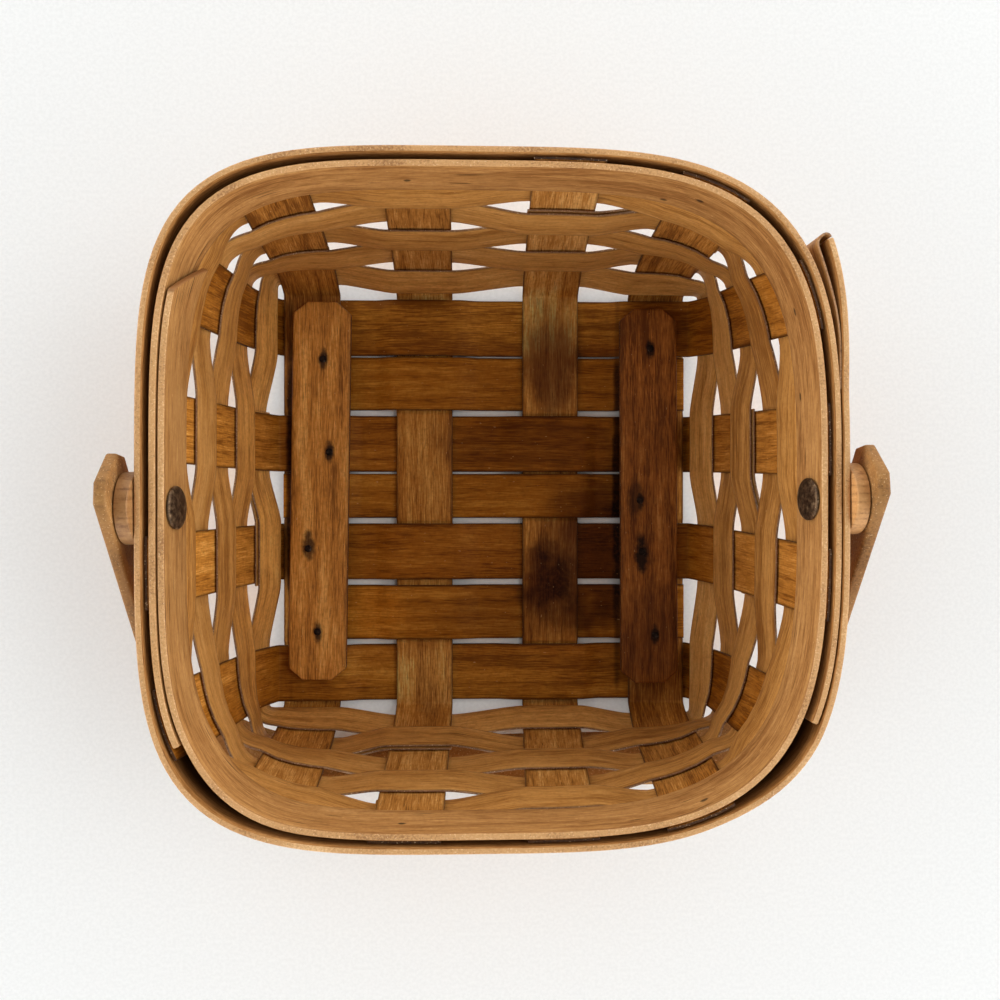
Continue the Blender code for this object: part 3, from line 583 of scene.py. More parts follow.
ring_stakes = (
    stakes["back"] + stakes["right"] + list(reversed(stakes["front"])) + list(reversed(stakes["left"]))
)
weavers = []
low = WEAVER_BASE
for weaver, (start, rise) in enumerate(zip(WEAVER_START_STAKES, WEAVER_RISES), start=1):
    lines = [
        weaver_line(ring_stakes, weaver, start, low + rise * (share + 1) / 2)
        for share in spread(WEAVER_ACROSS)
    ]
    rows = [list(row) for row in zip(*lines)]
    low += rise + WEAVER_SPACING
    rows = wander(shifted(rows), WANDER_SEEDS["weaver"] + weaver, WEAVER_WANDER, WEAVER_WANDER_PITCH)
    seed = GRAIN_SEEDS["weaver"] + weaver
    weavers.append(strip(f"wall_weaver_{weaver}", rows, WEAVER_THICKNESS, seed))
print("weavers", len(weavers))

# %% [markdown]
# # The rim bands
# Two thicker bands clamp the stakes' tops between them. Each goes once round and laps over its own
# start, the inner one on the left and the outer one on the right. The outer band's free end springs
# off a little, and a thin peeled tongue of it is folded back into the gap.

# %% Rim bands
BAND_STEPS = 260
BAND_ACROSS = 5
BAND_EDGE_ROUND = 0.0005
FLAP_THICKNESS = 0.0006
FLAP_GAP = 0.00015
FLAP_RUN = 0.031
FLAP_LOOP = 0.0018
FLAP_DROP = 0.0004
FLAP_BACK_OFF = 0.003
FLAP_TURN_STEPS = 12
FLAP_BACK_STEPS = 18
FLAP_SETTLE_SPEED = 1.4
FLAP_EDGE_ROUND = 0.00012


def band_point(angle, height, offset):
    half = wall_half(height) + offset
    across = math.cos(angle)
    along = math.sin(angle)
    power = squareness(RIM_TOP, across, along)
    reach = half / (abs(across) ** power + abs(along) ** power) ** (1 / power)
    return Vector((reach * across, reach * along, height))


def band_row(side, start, lap, cut, spring, share, extra=0.0):
    sweep_angle = math.tau + lap
    row = []
    for place in spread(BAND_ACROSS):
        up_share = (place + 1) / 2
        height = RIM_BOTTOM + RIM_HEIGHT * up_share
        travelled = (sweep_angle - cut / RIM_HALF * up_share) * share
        to_lap = (travelled - math.tau) * RIM_HALF
        to_end = (sweep_angle - travelled) * RIM_HALF
        layer = ease(1 + to_lap / BAND_SHIFT_RUN)
        raised = spring * max(1 - to_end / END_SPRING_RUN, 0.0) ** END_SPRING_POWER
        offset = side * (BAND_OFFSET + layer * BAND_STEP + raised) + extra
        row.append(band_point(start + side * travelled, height, offset))
    return row


def band_rows(*band):
    return [band_row(*band, step / BAND_STEPS) for step in range(BAND_STEPS + 1)]


inner_rows = band_rows(-1, INNER_BAND_START, INNER_BAND_LAP, INNER_BAND_CUT, 0)
outer_rows = band_rows(1, OUTER_BAND_START, OUTER_BAND_LAP, 0, OUTER_END_SPRING)
band_inner, band_outer = (
    strip(
        f"band_{side}", shifted(rows), BAND_THICKNESS, GRAIN_SEEDS[f"{side} band"], BAND_EDGE_ROUND,
        THICK_EDGE_SEGMENTS,
    )
    for side, rows in (("inner", inner_rows), ("outer", outer_rows))
)


def flap_rows():
    """The tongue: up off the band's end, round in a loop and back down inside the gap."""
    whole = (math.tau + OUTER_BAND_LAP) * RIM_HALF

    def lifted(back, extra):
        row = band_row(1, OUTER_BAND_START, OUTER_BAND_LAP, 0, OUTER_END_SPRING, 1 - back / whole, extra)
        return [point - UP * FLAP_DROP * (1 if index else -1) for index, point in enumerate(row)]

    outer_end = lifted(0, FLAP_THICKNESS / 2)
    inner_end = lifted(0, FLAP_THICKNESS / 2 - 2 * FLAP_LOOP)
    further = lifted(FLAP_BACK_OFF, FLAP_THICKNESS / 2)
    ways = [(a - b).normalized() for a, b in zip(outer_end, further)]
    rows = []
    for step in range(FLAP_TURN_STEPS + 1):
        turn = math.pi * step / FLAP_TURN_STEPS
        rows.append([
            (first + last) / 2 + (first - last) / 2 * math.cos(turn)
            + way * (FLAP_GAP + FLAP_LOOP * math.sin(turn))
            for first, last, way in zip(outer_end, inner_end, ways)
        ])
    near = BAND_THICKNESS / 2 + FLAP_GAP + FLAP_THICKNESS / 2
    far = 2 * FLAP_LOOP - FLAP_THICKNESS / 2
    for step in range(1, FLAP_BACK_STEPS + 1):
        share = step / FLAP_BACK_STEPS
        settled = ease(min(share * FLAP_SETTLE_SPEED, 1))
        rows.append(lifted(FLAP_RUN * share, -far + (far - near) * settled))
    return rows


band_tongue = strip(
    "band_tongue", shifted(flap_rows()), FLAP_THICKNESS, GRAIN_SEEDS["tongue"], FLAP_EDGE_ROUND,
)
print("rim bands made")

# %% [markdown]
# # The wear slats and their brads
# Two thicker slats with clipped corners are nailed down over the ends of the floor's rows. Each is
# a short board, and four small nails go through it. The heads have rusted and bled into the wood.

# %% Slats and brads
SLAT_EDGE_ROUND = 0.0006
BRAD_LEFT_ROWS = (1, 2, 4, 5)
BRAD_LEFT_SHARES = ((0.03, 0.42), (0.16, -0.156), (-0.18, 0.063), (0.0, -0.324))
BRAD_RIGHT_ROWS = (0, 3, 4, 5)
BRAD_RIGHT_SHARES = ((0.03, -0.378), (-0.16, -0.104), (-0.13, 0.0), (0.10, -0.416))
BRAD_RADIUS = 0.00065
BRAD_HEAD_RADIUS = 0.0012
BRAD_HEAD_HEIGHT = 0.0004
BRAD_TIP = 0.0003
BRAD_NECK_SHARE = 0.9
BRAD_CROWN_SHARE = 0.8
BRAD_SEGMENTS = 24
SLAT_STEPS = 24
SLAT_ACROSS = 7
WELD_DISTANCE = 0.000002
SHARP_ANGLE = math.radians(35)


def turned(name, profile, segments):
    """Spin a profile of (distance along Z, radius) points about Z."""
    shape = bmesh.new()
    verts = [shape.verts.new((radius, 0, along)) for along, radius in profile]
    ends = verts if profile[0][1] == 0 else verts + verts[:1]
    edges = [shape.edges.new(pair) for pair in zip(ends, ends[1:])]
    bmesh.ops.spin(
        shape, geom=verts + edges, cent=(0, 0, 0), axis=(0, 0, 1),
        angle=math.tau, steps=segments, use_merge=True, use_duplicate=False,
    )
    bmesh.ops.remove_doubles(shape, verts=shape.verts[:], dist=WELD_DISTANCE)
    bmesh.ops.recalc_face_normals(shape, faces=shape.faces[:])
    item = link_mesh(name, shape)
    item.data.set_sharp_from_angle(angle=SHARP_ANGLE)
    return item


def slat_rows():
    half = SLAT_WIDTH / 2
    end = SLAT_LENGTH / 2
    places = [(-end, half - SLAT_CLIP_ACROSS), (-end + SLAT_CLIP_ALONG, half)]
    straight = 2 * end - 2 * SLAT_CLIP_ALONG
    for step in range(1, SLAT_STEPS):
        places.append(((-end + SLAT_CLIP_ALONG) + straight * step / SLAT_STEPS, half))
    places += [(end - SLAT_CLIP_ALONG, half), (end, half - SLAT_CLIP_ACROSS)]
    middle = (SLAT_BOTTOM + SLAT_TOP) / 2
    return [
        [Vector((share * wide, along, middle)) for share in spread(SLAT_ACROSS)]
        for along, wide in places
    ]


slats = []
brads = []
brad_spots = []
floor_rows = rows_of_floor()
slat_sides = (
    ("left", BRAD_LEFT_ROWS, BRAD_LEFT_SHARES),
    ("right", BRAD_RIGHT_ROWS, BRAD_RIGHT_SHARES),
)
for (side, rows_held, places), (x_share, y_share), turn in zip(slat_sides, SLAT_PLACE_SHARES, SLAT_TURNS):
    spot = Vector((FLOOR_HALF * x_share + BODY_SHIFT, FLOOR_HALF * y_share, 0))
    seat = Matrix.Translation(spot) @ Matrix.Rotation(turn, 4, "Z")
    slat = strip(
        f"wear_slat_{side}", slat_rows(), SLAT_THICKNESS, GRAIN_SEEDS[f"{side} slat"], SLAT_EDGE_ROUND,
        THICK_EDGE_SEGMENTS,
    )
    slat.data.transform(seat)
    slats.append(slat)
    for number, (row, (across_share, row_share)) in enumerate(zip(rows_held, places), start=1):
        row_middle, row_width = floor_rows[row]
        place = seat @ Vector((SLAT_WIDTH * across_share, row_middle + row_width * row_share - spot.y, 0))
        neck = SLAT_TOP + FIT_GAP
        brad = turned(
            f"nail_{side}_{number}",
            [
                (BRAD_TIP, 0), (BRAD_TIP, BRAD_RADIUS / 2), (BRAD_TIP + BRAD_RADIUS, BRAD_RADIUS),
                (neck, BRAD_RADIUS), (neck, BRAD_HEAD_RADIUS * BRAD_NECK_SHARE),
                (neck + BRAD_HEAD_HEIGHT / 2, BRAD_HEAD_RADIUS),
                (neck + BRAD_HEAD_HEIGHT, BRAD_HEAD_RADIUS * BRAD_CROWN_SHARE),
                (neck + BRAD_HEAD_HEIGHT, 0),
            ],
            BRAD_SEGMENTS,
        )
        brad.data.transform(Matrix.Translation(place))
        brads.append((brad, f"brad_{side}_{number}"))
        brad_spots.append((side, place.x, place.y))
print("slats", len(slats), "brads", len(brads))

# %% [markdown]
# # The swing handle
# The handle is one strip of thicker wood, steamed and bent into a hoop. A turned wooden disc keeps
# each arm off the rim, and a bronze rivet with a low domed head inside the basket goes through rim,
# disc and arm. The hoop is made upright over its hinge line. Its two rivet holes are cut once and
# for all, so that no cutter stays behind, and then it is turned down to where it hangs.

# %% Handle, discs, rivets and washers
HANDLE_EDGE_ROUND = 0.0008
HANDLE_ACROSS = 7
HANDLE_BEND_STEPS = 28
HANDLE_ARM_STEPS = 13
HANDLE_GRIP_STEPS = 6
BORE_CLEARANCE = 0.00025
BORE_RADIUS = RIVET_RADIUS + BORE_CLEARANCE
BORE_SEGMENTS = 48
DISC_SEGMENTS = 64
RIVET_SEGMENTS = 56
WASHER_SEGMENTS = 48
SPACER_BEVEL = 0.0004
RIVET_TAIL_RADIUS = 0.0034
RIVET_TAIL_HEIGHT = 0.0012
WASHER_RADIUS = 0.0055
WASHER_THICKNESS = 0.001
WASHER_EDGE_SHARE = 0.93
WASHER_BEVEL_FROM_SHARE = 0.7
RIVET_HEAD_DOME_SHARE = 0.75
RIVET_HEAD_STEPS = 7
RIVET_TAIL_STEPS = 6


def band_lean():
    return (wall_half(RIM_TOP) - wall_half(RIM_BOTTOM)) / RIM_HEIGHT


def band_half():
    return wall_half(RIM_TOP) - band_lean() * PIVOT_DROP


def inner_face(side):
    single = band_half() - BAND_OFFSET - BAND_THICKNESS / 2
    return single + BODY_SHIFT if side > 0 else single - BAND_STEP - BODY_SHIFT


rim_face = band_half() + BAND_OFFSET + BAND_THICKNESS / 2 + BAND_STEP / 2
spacer_face = rim_face + FIT_GAP + SPACER_THICKNESS
arm_face = spacer_face + FIT_GAP
skew = math.atan2(PIVOT_SKEW, 2 * arm_face)
pivot = Matrix.Translation((0, PIVOT_OFFSET, PIVOT_HEIGHT)) @ Matrix.Rotation(skew, 4, "Z")


def handle_reach():
    half = HANDLE_WIDTH / 2
    fall = PIVOT_HEIGHT - HANDLE_TABLE_CLEARANCE
    weave_face = wall_half(WEAVER_BASE + WEAVER_RISES[0]) + WEAVER_OFFSET + WEAVER_THICKNESS / 2
    level_reach = weave_face + HANDLE_STANDOFF
    reach = math.sqrt(fall ** 2 + level_reach ** 2 - half ** 2)
    return reach, math.atan2(fall, level_reach) - math.atan2(half, reach)


def handle_rows():
    reach, _ = handle_reach()
    middle = HANDLE_THICKNESS / 2
    side = arm_face + middle
    bend = HANDLE_BEND - middle
    straight_top = reach - HANDLE_BEND
    straight_foot = HANDLE_TAIL_CLIP - HANDLE_TAIL
    path = [(side, -HANDLE_TAIL, HANDLE_TAIL_CLIP), (side, straight_foot, 0)]
    for step in range(1, HANDLE_ARM_STEPS):
        height = straight_foot + (straight_top - straight_foot) * step / HANDLE_ARM_STEPS
        path.append((side, height, 0))
    for step in range(HANDLE_BEND_STEPS + 1):
        turn = math.pi / 2 * step / HANDLE_BEND_STEPS
        path.append((side - bend + bend * math.cos(turn), straight_top + bend * math.sin(turn), 0))
    reach_x = path[-1][0]
    for step in range(1, HANDLE_GRIP_STEPS):
        path.append((reach_x * (1 - step / HANDLE_GRIP_STEPS), path[-1][1], 0))
    mirrored = [(-x, z, clip) for x, z, clip in reversed(path)]
    path = path + [(0.0, path[-1][1], 0)] + mirrored
    return [
        [Vector((x, share * (HANDLE_WIDTH / 2 - clip), z)) for share in spread(HANDLE_ACROSS)]
        for x, z, clip in path
    ]


def bake(item):
    """Keep the modifiers' result as the piece's mesh."""
    graph = bpy.context.evaluated_depsgraph_get()
    baked = bpy.data.meshes.new_from_object(item.evaluated_get(graph), depsgraph=graph)
    item.modifiers.clear()
    item.data = baked


reach, hang = handle_reach()
on_x = Matrix.Rotation(math.pi / 2, 4, "Y")
handle = strip(
    "swing_handle", handle_rows(), HANDLE_THICKNESS, GRAIN_SEEDS["handle"], HANDLE_EDGE_ROUND,
    THICK_EDGE_SEGMENTS,
)
drill_shape = bmesh.new()
bmesh.ops.create_cone(
    drill_shape, cap_ends=True, segments=BORE_SEGMENTS, radius1=BORE_RADIUS, radius2=BORE_RADIUS,
    depth=3 * arm_face, matrix=on_x,
)
drill = link_mesh("drill", drill_shape)
bore = handle.modifiers.new("rivet holes", "BOOLEAN")
bore.operation = "DIFFERENCE"
bore.solver = "EXACT"
bore.object = drill
bake(handle)
bpy.data.objects.remove(drill, do_unlink=True)
handle.data.transform(pivot @ Matrix.Rotation(math.pi / 2 + hang, 4, "X"))


def seat_on_pivot(item, side, lean_limit=None):
    """Turn a piece made along Z onto the hinge line, leaning its inner face with the rim."""
    item.data.transform(on_x)
    if lean_limit is not None:
        for vert in item.data.vertices:
            if vert.co.x < lean_limit:
                vert.co.x += vert.co.z * band_lean()
    if side < 0:
        item.data.transform(Matrix.Scale(-1, 4, (1, 0, 0)))
        item.data.flip_normals()
    item.data.transform(pivot)


def dome(under, radius, height, toward, steps):
    turns = [math.pi / 2 * step / steps for step in range(steps + 1)]
    return [(under + toward * height * math.cos(turn), radius * math.sin(turn)) for turn in turns]


hardware = []
for side, name in ((-1, "left"), (1, "right")):
    start = rim_face + FIT_GAP
    disc = turned(
        f"turned_disc_{name}",
        [
            (start, BORE_RADIUS), (start, SPACER_RADIUS - SPACER_BEVEL / 2),
            (start + SPACER_BEVEL / 2, SPACER_RADIUS), (spacer_face - SPACER_BEVEL, SPACER_RADIUS),
            (spacer_face - SPACER_BEVEL / 3, SPACER_RADIUS - SPACER_BEVEL / 3),
            (spacer_face, SPACER_RADIUS - SPACER_BEVEL), (spacer_face, BORE_RADIUS),
        ],
        DISC_SEGMENTS,
    )
    seat_on_pivot(disc, side, start + SPACER_BEVEL)
    under = inner_face(side) - FIT_GAP
    tail = arm_face + HANDLE_THICKNESS + 2 * FIT_GAP + WASHER_THICKNESS + FIT_GAP
    dome_height = RIVET_HEAD_HEIGHT * RIVET_HEAD_DOME_SHARE
    dome_foot = under - RIVET_HEAD_HEIGHT + dome_height
    head = dome(dome_foot, RIVET_HEAD_RADIUS, dome_height, -1, RIVET_HEAD_STEPS)
    end = list(reversed(dome(tail, RIVET_TAIL_RADIUS, RIVET_TAIL_HEIGHT, 1, RIVET_TAIL_STEPS)))
    rivet = turned(
        f"bronze_rivet_{name}",
        head + [(under, RIVET_HEAD_RADIUS), (under, RIVET_RADIUS), (tail, RIVET_RADIUS)] + end,
        RIVET_SEGMENTS,
    )
    seat_on_pivot(rivet, side, under + FIT_GAP)
    start = arm_face + HANDLE_THICKNESS + FIT_GAP
    washer = turned(
        f"steel_washer_{name}",
        [
            (start, BORE_RADIUS), (start, WASHER_RADIUS),
            (start + WASHER_THICKNESS * WASHER_BEVEL_FROM_SHARE, WASHER_RADIUS),
            (start + WASHER_THICKNESS, WASHER_RADIUS * WASHER_EDGE_SHARE),
            (start + WASHER_THICKNESS, BORE_RADIUS),
        ],
        WASHER_SEGMENTS,
    )
    seat_on_pivot(washer, side)
    hardware.append((name, disc, rivet, washer))
print("handle reach", reach, "hangs", math.degrees(hang))

# %% [markdown]
# # Shader maths
# A small class wraps a shader socket, so that a material's sums read as sums. Everything else is
# added by one method, which takes the node's type, its settings and its inputs.


# %% Shader helpers
SHINE = 0.3
PALEST = (0.8, 0.8, 0.8)
SOFT_BORDER = 0.9
# A mix node's sockets for colours: it has others for numbers and directions
MIX_INPUTS = (0, 6, 7)
MIX_OUTPUT = 2
OBJECT_OUTPUT = 3


def both_ways(operation):
    """The two methods of a sum: for a socket on its left side, and for one on its right."""

    def on_left(self, other):
        return self.sheet.node("ShaderNodeMath", {"operation": operation}, {0: self, 1: other})

    def on_right(self, other):
        return self.sheet.node("ShaderNodeMath", {"operation": operation}, {0: other, 1: self})

    return on_left, on_right


class Sock:
    """A socket of the material being built."""

    __add__, __radd__ = both_ways("ADD")
    __sub__, __rsub__ = both_ways("SUBTRACT")
    __mul__, __rmul__ = both_ways("MULTIPLY")
    __truediv__ = both_ways("DIVIDE")[0]
    __pow__ = both_ways("POWER")[0]
    most = both_ways("MAXIMUM")[0]

    def __init__(self, sheet, socket):
        self.sheet = sheet
        self.socket = socket

    def __abs__(self):
        return self.sheet.node("ShaderNodeMath", {"operation": "ABSOLUTE"}, {0: self})

    def above(self, low, high):
        """0 below low, 1 above high and smooth between."""
        return self.sheet.node(
            "ShaderNodeMapRange", {"interpolation_type": "SMOOTHSTEP"},
            {"Value": self, "From Min": low, "From Max": high},
        )


class Sheet:
    """The nodes of one material, or of the sky, under construction."""

    def __init__(self, owner, shader="Principled BSDF"):
        owner.use_nodes = True
        self.owner = owner
        self.tree = owner.node_tree
        self.shader = self.tree.nodes[shader]

    def node(self, kind, settings=None, inputs=None, output=0):
        item = self.tree.nodes.new(kind)
        for key, value in (settings or {}).items():
            setattr(item, key, value)
        for key, value in (inputs or {}).items():
            self.feed(item.inputs[key], value)
        return Sock(self, item.outputs[output])

    def feed(self, socket, value):
        if isinstance(value, Sock):
            self.tree.links.new(value.socket, socket)
        else:
            socket.default_value = value

    def surface(self, shine=SHINE, **values):
        self.feed(self.shader.inputs["Specular IOR Level"], shine)
        for key, value in values.items():
            self.feed(self.shader.inputs[key.replace("_", " ")], value)
        return self.owner

    def mix(self, factor, first, second):
        """Colour between two colours, either of which may be a socket."""
        inputs = dict(zip(MIX_INPUTS, (factor, first, second)))
        return self.node("ShaderNodeMix", {"data_type": "RGBA"}, inputs, MIX_OUTPUT)

    def times(self, colour, tint):
        """A colour with each of its three parts multiplied, and none past PALEST.

        A colour over 1 would send out more light than falls on it, and glow.
        """
        tinted = self.node("ShaderNodeVectorMath", {"operation": "MULTIPLY"}, {0: colour, 1: tint})
        return self.node("ShaderNodeVectorMath", {"operation": "MINIMUM"}, {0: tinted, 1: PALEST})

    def split(self, vector):
        first = self.node("ShaderNodeSeparateXYZ", inputs={0: vector})
        outputs = first.socket.node.outputs
        return [Sock(self, outputs[index]) for index in range(3)]

    def join(self, x_value, y_value, z_value):
        return self.node("ShaderNodeCombineXYZ", inputs={0: x_value, 1: y_value, 2: z_value})

    def place(self):
        """Where a point lies on the finished basket, in metres."""
        return self.node("ShaderNodeTexCoord", output=OBJECT_OUTPUT)

    def chart(self, name):
        return self.split(self.node("ShaderNodeUVMap", {"uv_map": name}))

    def near(self, centre, radii, ragged=0.0):
        """1 inside an ellipsoid, 0 outside it, with a soft and ragged border."""
        parts = [
            (value - middle) / radius
            for value, middle, radius in zip(self.split(self.place()), centre, radii)
        ]
        squared = parts[0] * parts[0] + parts[1] * parts[1] + parts[2] * parts[2]
        return (1.0 - (squared + ragged)).above(0.0, SOFT_BORDER)

    def noise(self, place, scale=1.0, detail=3.0, roughness=0.55):
        """Noise at a place, which is a socket or its three parts."""
        place = place if isinstance(place, Sock) else self.join(*place)
        values = {"Vector": place, "Scale": scale, "Detail": detail, "Roughness": roughness}
        return self.node("ShaderNodeTexNoise", {"noise_dimensions": "3D"}, values)

    def bump(self, height, strength, distance):
        values = {"Height": height, "Strength": strength, "Distance": distance}
        return self.node("ShaderNodeBump", inputs=values)


def lift(colour, gain):
    return (*(min(value * gain, 1.0) for value in colour[:3]), 1.0)


def srgb(red, green, blue):
    """A colour in linear light from its three screen values, 0 to 255."""
    values = []
    for value in (red, green, blue):
        value /= 255
        values.append(value / 12.92 if value <= 0.04045 else ((value + 0.055) / 1.055) ** 2.4)
    return (*values, 1.0)


def new_sheet(name):
    return Sheet(bpy.data.materials.new(name))


print("shader helpers ready")

# %% [markdown]
# # Oiled splint wood
# Ash and maple splint shows fine fibres along the strip, broader darker and paler streaks, short
# dark pores and a few pale specks. All of it is drawn on the strip's own map in metres, stretched
# along the grain, so that it follows each bend. Every strip has its own stretch of the map, so no
# two strips match. The oil leaves a satin sheen that is duller in the pores. Broad patches of
# painted light and shade, and painted shade along strip edges and in the rim gap, are laid on top.

# %% Wood materials


def grain_parts(sheet, fibre_scale=2300.0, streak_scale=380.0):
    """The streaks, fibres and pores of a strip, from its grain map in metres."""
    along, across, _ = sheet.chart("grain")
    drift = sheet.noise((along * 9.0, across * 30.0, 4.0), detail=2.0) - 0.5
    bent = across + drift * 0.0035
    fibre = sheet.noise((along * 150.0, bent * fibre_scale, 1.0), detail=3.0, roughness=0.65)
    streak = sheet.noise((along * 20.0, bent * streak_scale, 2.0), detail=4.0, roughness=0.6)
    cloud = sheet.noise((along * 26.0, across * 90.0, 3.0), detail=3.0)
    tone = sheet.noise((along * 2.2, across * 3.0, 7.0), detail=1.0)
    pore = sheet.noise((along * 190.0, bent * 3400.0, 5.0), detail=1.0).above(0.64, 0.76)
    return along, across, fibre, streak, cloud, tone, pore


def wood(name, tones, gain=1.0, contrast=1.0, pores=0.5, flecks=0.4, specks=0.5, edge=0.5, gap_shade=0.0,
         shine=SHINE, streak_scale=380.0, patches=(), stains=()):
    """A strip's face. Tones are its dark, middle and pale colours, as screen values.

    Pores and flecks are dark marks and specks are pale ones. Their numbers, and those of the dark
    edge line and of the shade in a gap, say how strong each is, from 0 to 1. The dark edge line is
    painted shade where strips meet, with some dirt.
    Patches are broad soft areas that are darker or paler by a tint: painted light and shade, on the
    floor partly the wood's own uneven tone. Stains are small black ones. Each is a place, its radii
    and its strength, and a patch has its tint as well. A face given shade for a gap is darkened
    from its upper edge down, as painted shade in a narrow gap.
    """
    dark, middle, pale = (lift(srgb(*tone), gain) for tone in tones)
    sheet = new_sheet(name)
    along, across, fibre, streak, cloud, tone, pore = grain_parts(sheet, streak_scale=streak_scale)
    body = (streak - 0.5) * 1.5 + (cloud - 0.5) * 0.8 + (tone - 0.5) * 1.2 + (fibre - 0.5) * 1.7
    body = body * contrast + 0.5
    colour = sheet.mix(body.above(0.05, 0.62), dark, middle)
    colour = sheet.mix(body.above(0.52, 1.15), colour, pale)
    soft = sheet.place()
    broad = (sheet.noise(soft, scale=110.0, detail=3.0) - 0.5) * 1.2
    # Patches: painted light and shade, and on the floor partly the wood's own uneven tone
    for centre, radii, strength, tint in patches:
        colour = sheet.mix(sheet.near(centre, radii, broad) * strength, colour, sheet.times(colour, tint))
    fleck = sheet.noise((along * 75.0, across * 1150.0, 11.0), detail=0.0).above(0.71, 0.79)
    rare = sheet.noise((along * 30.0, across * 60.0, 12.0), detail=1.0).above(0.50, 0.64)
    colour = sheet.mix(fleck * rare * flecks, colour, srgb(62, 34, 14))
    colour = sheet.mix(pore * pores, colour, srgb(60, 30, 10))
    speck = sheet.noise((along * 620.0, across * 1500.0, 15.0), detail=1.0).above(0.73, 0.80)
    colour = sheet.mix(speck * specks, colour, srgb(226, 180, 120))
    mottle = sheet.noise(soft, scale=900.0, detail=2.0)
    colour = sheet.mix(mottle.above(0.42, 0.72) * 0.25, colour, dark)
    # The dark line along each edge of a strip is painted shade where strips meet and overlap, with some
    # dirt. Noise only makes its border ragged.
    worn = sheet.noise((along * 40.0, across * 20.0, 21.0), detail=2.0)
    share_across = sheet.chart("place")[1]
    inset = 0.5 - abs(share_across - 0.5) + (worn - 0.5) * 0.05
    edge_line = (1.0 - inset.above(0.0, 0.055)) * edge
    colour = sheet.mix(edge_line, colour, srgb(46, 22, 8))
    # Painted shade in a narrow gap: the face darkens from its upper edge down
    if gap_shade:
        colour = sheet.mix((1.0 - share_across.above(0.45, 0.92)) * gap_shade, colour, srgb(26, 12, 5))
    damage = pore * pores
    if stains:
        ragged = (sheet.noise(soft, scale=420.0, detail=3.0) - 0.5) * 1.3
        stain = 0.0
        for centre, radii, strength in stains:
            stain = (sheet.near(centre, radii, ragged) * strength).most(stain)
        colour = sheet.mix(stain, colour, srgb(24, 16, 14))
        damage = damage.most(stain)
    height = fibre * 0.5 + streak * 0.5 - pore * 0.6
    roughness = 0.5 + (streak - 0.5) * 0.16 + damage * 0.18
    normal = sheet.bump(height, 0.4, 0.0002)
    return sheet.surface(shine, Base_Color=colour, Roughness=roughness, Normal=normal)


def edge_wood(name, tones, roughness=0.62, end_at=None):
    """Cut edges: speckled with the ends of the fibres, and a little paler where sanded.

    The end of the strip, end_at from its start, is as brown as its face.
    """
    dark, middle, pale = (srgb(*tone) for tone in tones)
    sheet = new_sheet(name)
    place = sheet.place()
    along, across, _ = sheet.chart("grain")
    speck = sheet.noise(place, scale=1500.0, detail=2.0, roughness=0.6)
    band = sheet.noise((along * 30.0, across * 300.0, 2.0), detail=3.0)
    height = sheet.split(place)[2]
    layer = sheet.noise((along * 60.0, height * 10.0, 9.0), scale=1.0, detail=3.0)
    body = (speck - 0.5) * 1.1 + (band - 0.5) * 0.8 + (layer - 0.5) * 0.9 + 0.5
    colour = sheet.mix(body.above(0.1, 0.55), dark, middle)
    colour = sheet.mix(body.above(0.55, 1.0), colour, pale)
    dot = sheet.noise(place, scale=2300.0, detail=0.0).above(0.70, 0.80)
    colour = sheet.mix(dot * 0.55, colour, srgb(240, 205, 160))
    pit = sheet.noise(place, scale=1900.0, detail=1.0).above(0.66, 0.78)
    colour = sheet.mix(pit * 0.45, colour, srgb(84, 50, 26))
    if end_at:
        past = sheet.chart("place")[0].above(end_at - 0.0012, end_at - 0.0004)
        colour = sheet.mix(past, colour, srgb(150, 102, 56))
    normal = sheet.bump(speck, 0.4, 0.0002)
    return sheet.surface(Base_Color=colour, Roughness=roughness, Normal=normal)


MM = 0.001
# A patch or stain on the floor is this tall, so that its place seen from above decides
TALL = 0.05
# Tints for the patches: DEEP_BROWN darkens, GOLDEN and HONEY lighten and DEEP_SHADE darkens almost to
# black, as painted shade and painted light
DEEP_BROWN = (0.16, 0.08, 0.06)
GOLDEN = (1.55, 1.6, 1.7)
HONEY = (1.7, 2.2, 3.2)
DEEP_SHADE = (0.06, 0.04, 0.03)
# Patches on the floor: darker on the right half, paler at the back, front and left. They are painted
# shade and light after the right wall's shade, and partly the wood's own uneven tone.
floor_patches = [
    ((0.035, -0.018, 0), (0.022, 0.036, TALL), 0.85, DEEP_BROWN),
    ((0.014, 0.019, 0), (0.042, 0.012, TALL), 0.40, DEEP_BROWN),
    ((0.012, -0.039, 0), (0.038, 0.012, TALL), 0.32, DEEP_BROWN),
    ((0.0, 0.060, 0), (0.075, 0.013, TALL), 0.60, HONEY),
    ((-0.004, -0.060, 0), (0.075, 0.012, TALL), 0.52, HONEY),
    ((-0.040, -0.038, 0), (0.014, 0.013, TALL), 0.60, GOLDEN),
    ((0.022, 0.047, 0), (0.013, 0.022, TALL), 0.74, DEEP_BROWN),
    ((0.020, -0.027, 0), (0.012, 0.017, TALL), 0.94, DEEP_BROWN),
]
# A painted shadow along the left side of each slat, as the light from the right casts it
for x_share, y_share in SLAT_PLACE_SHARES:
    slat_side = FLOOR_HALF * x_share + BODY_SHIFT - SLAT_WIDTH / 2 - 0.0004
    slat_shadow_spot = (slat_side, FLOOR_HALF * y_share, 0)
    floor_patches.append((slat_shadow_spot, (0.0021, 0.075, TALL), 0.95, DEEP_SHADE))
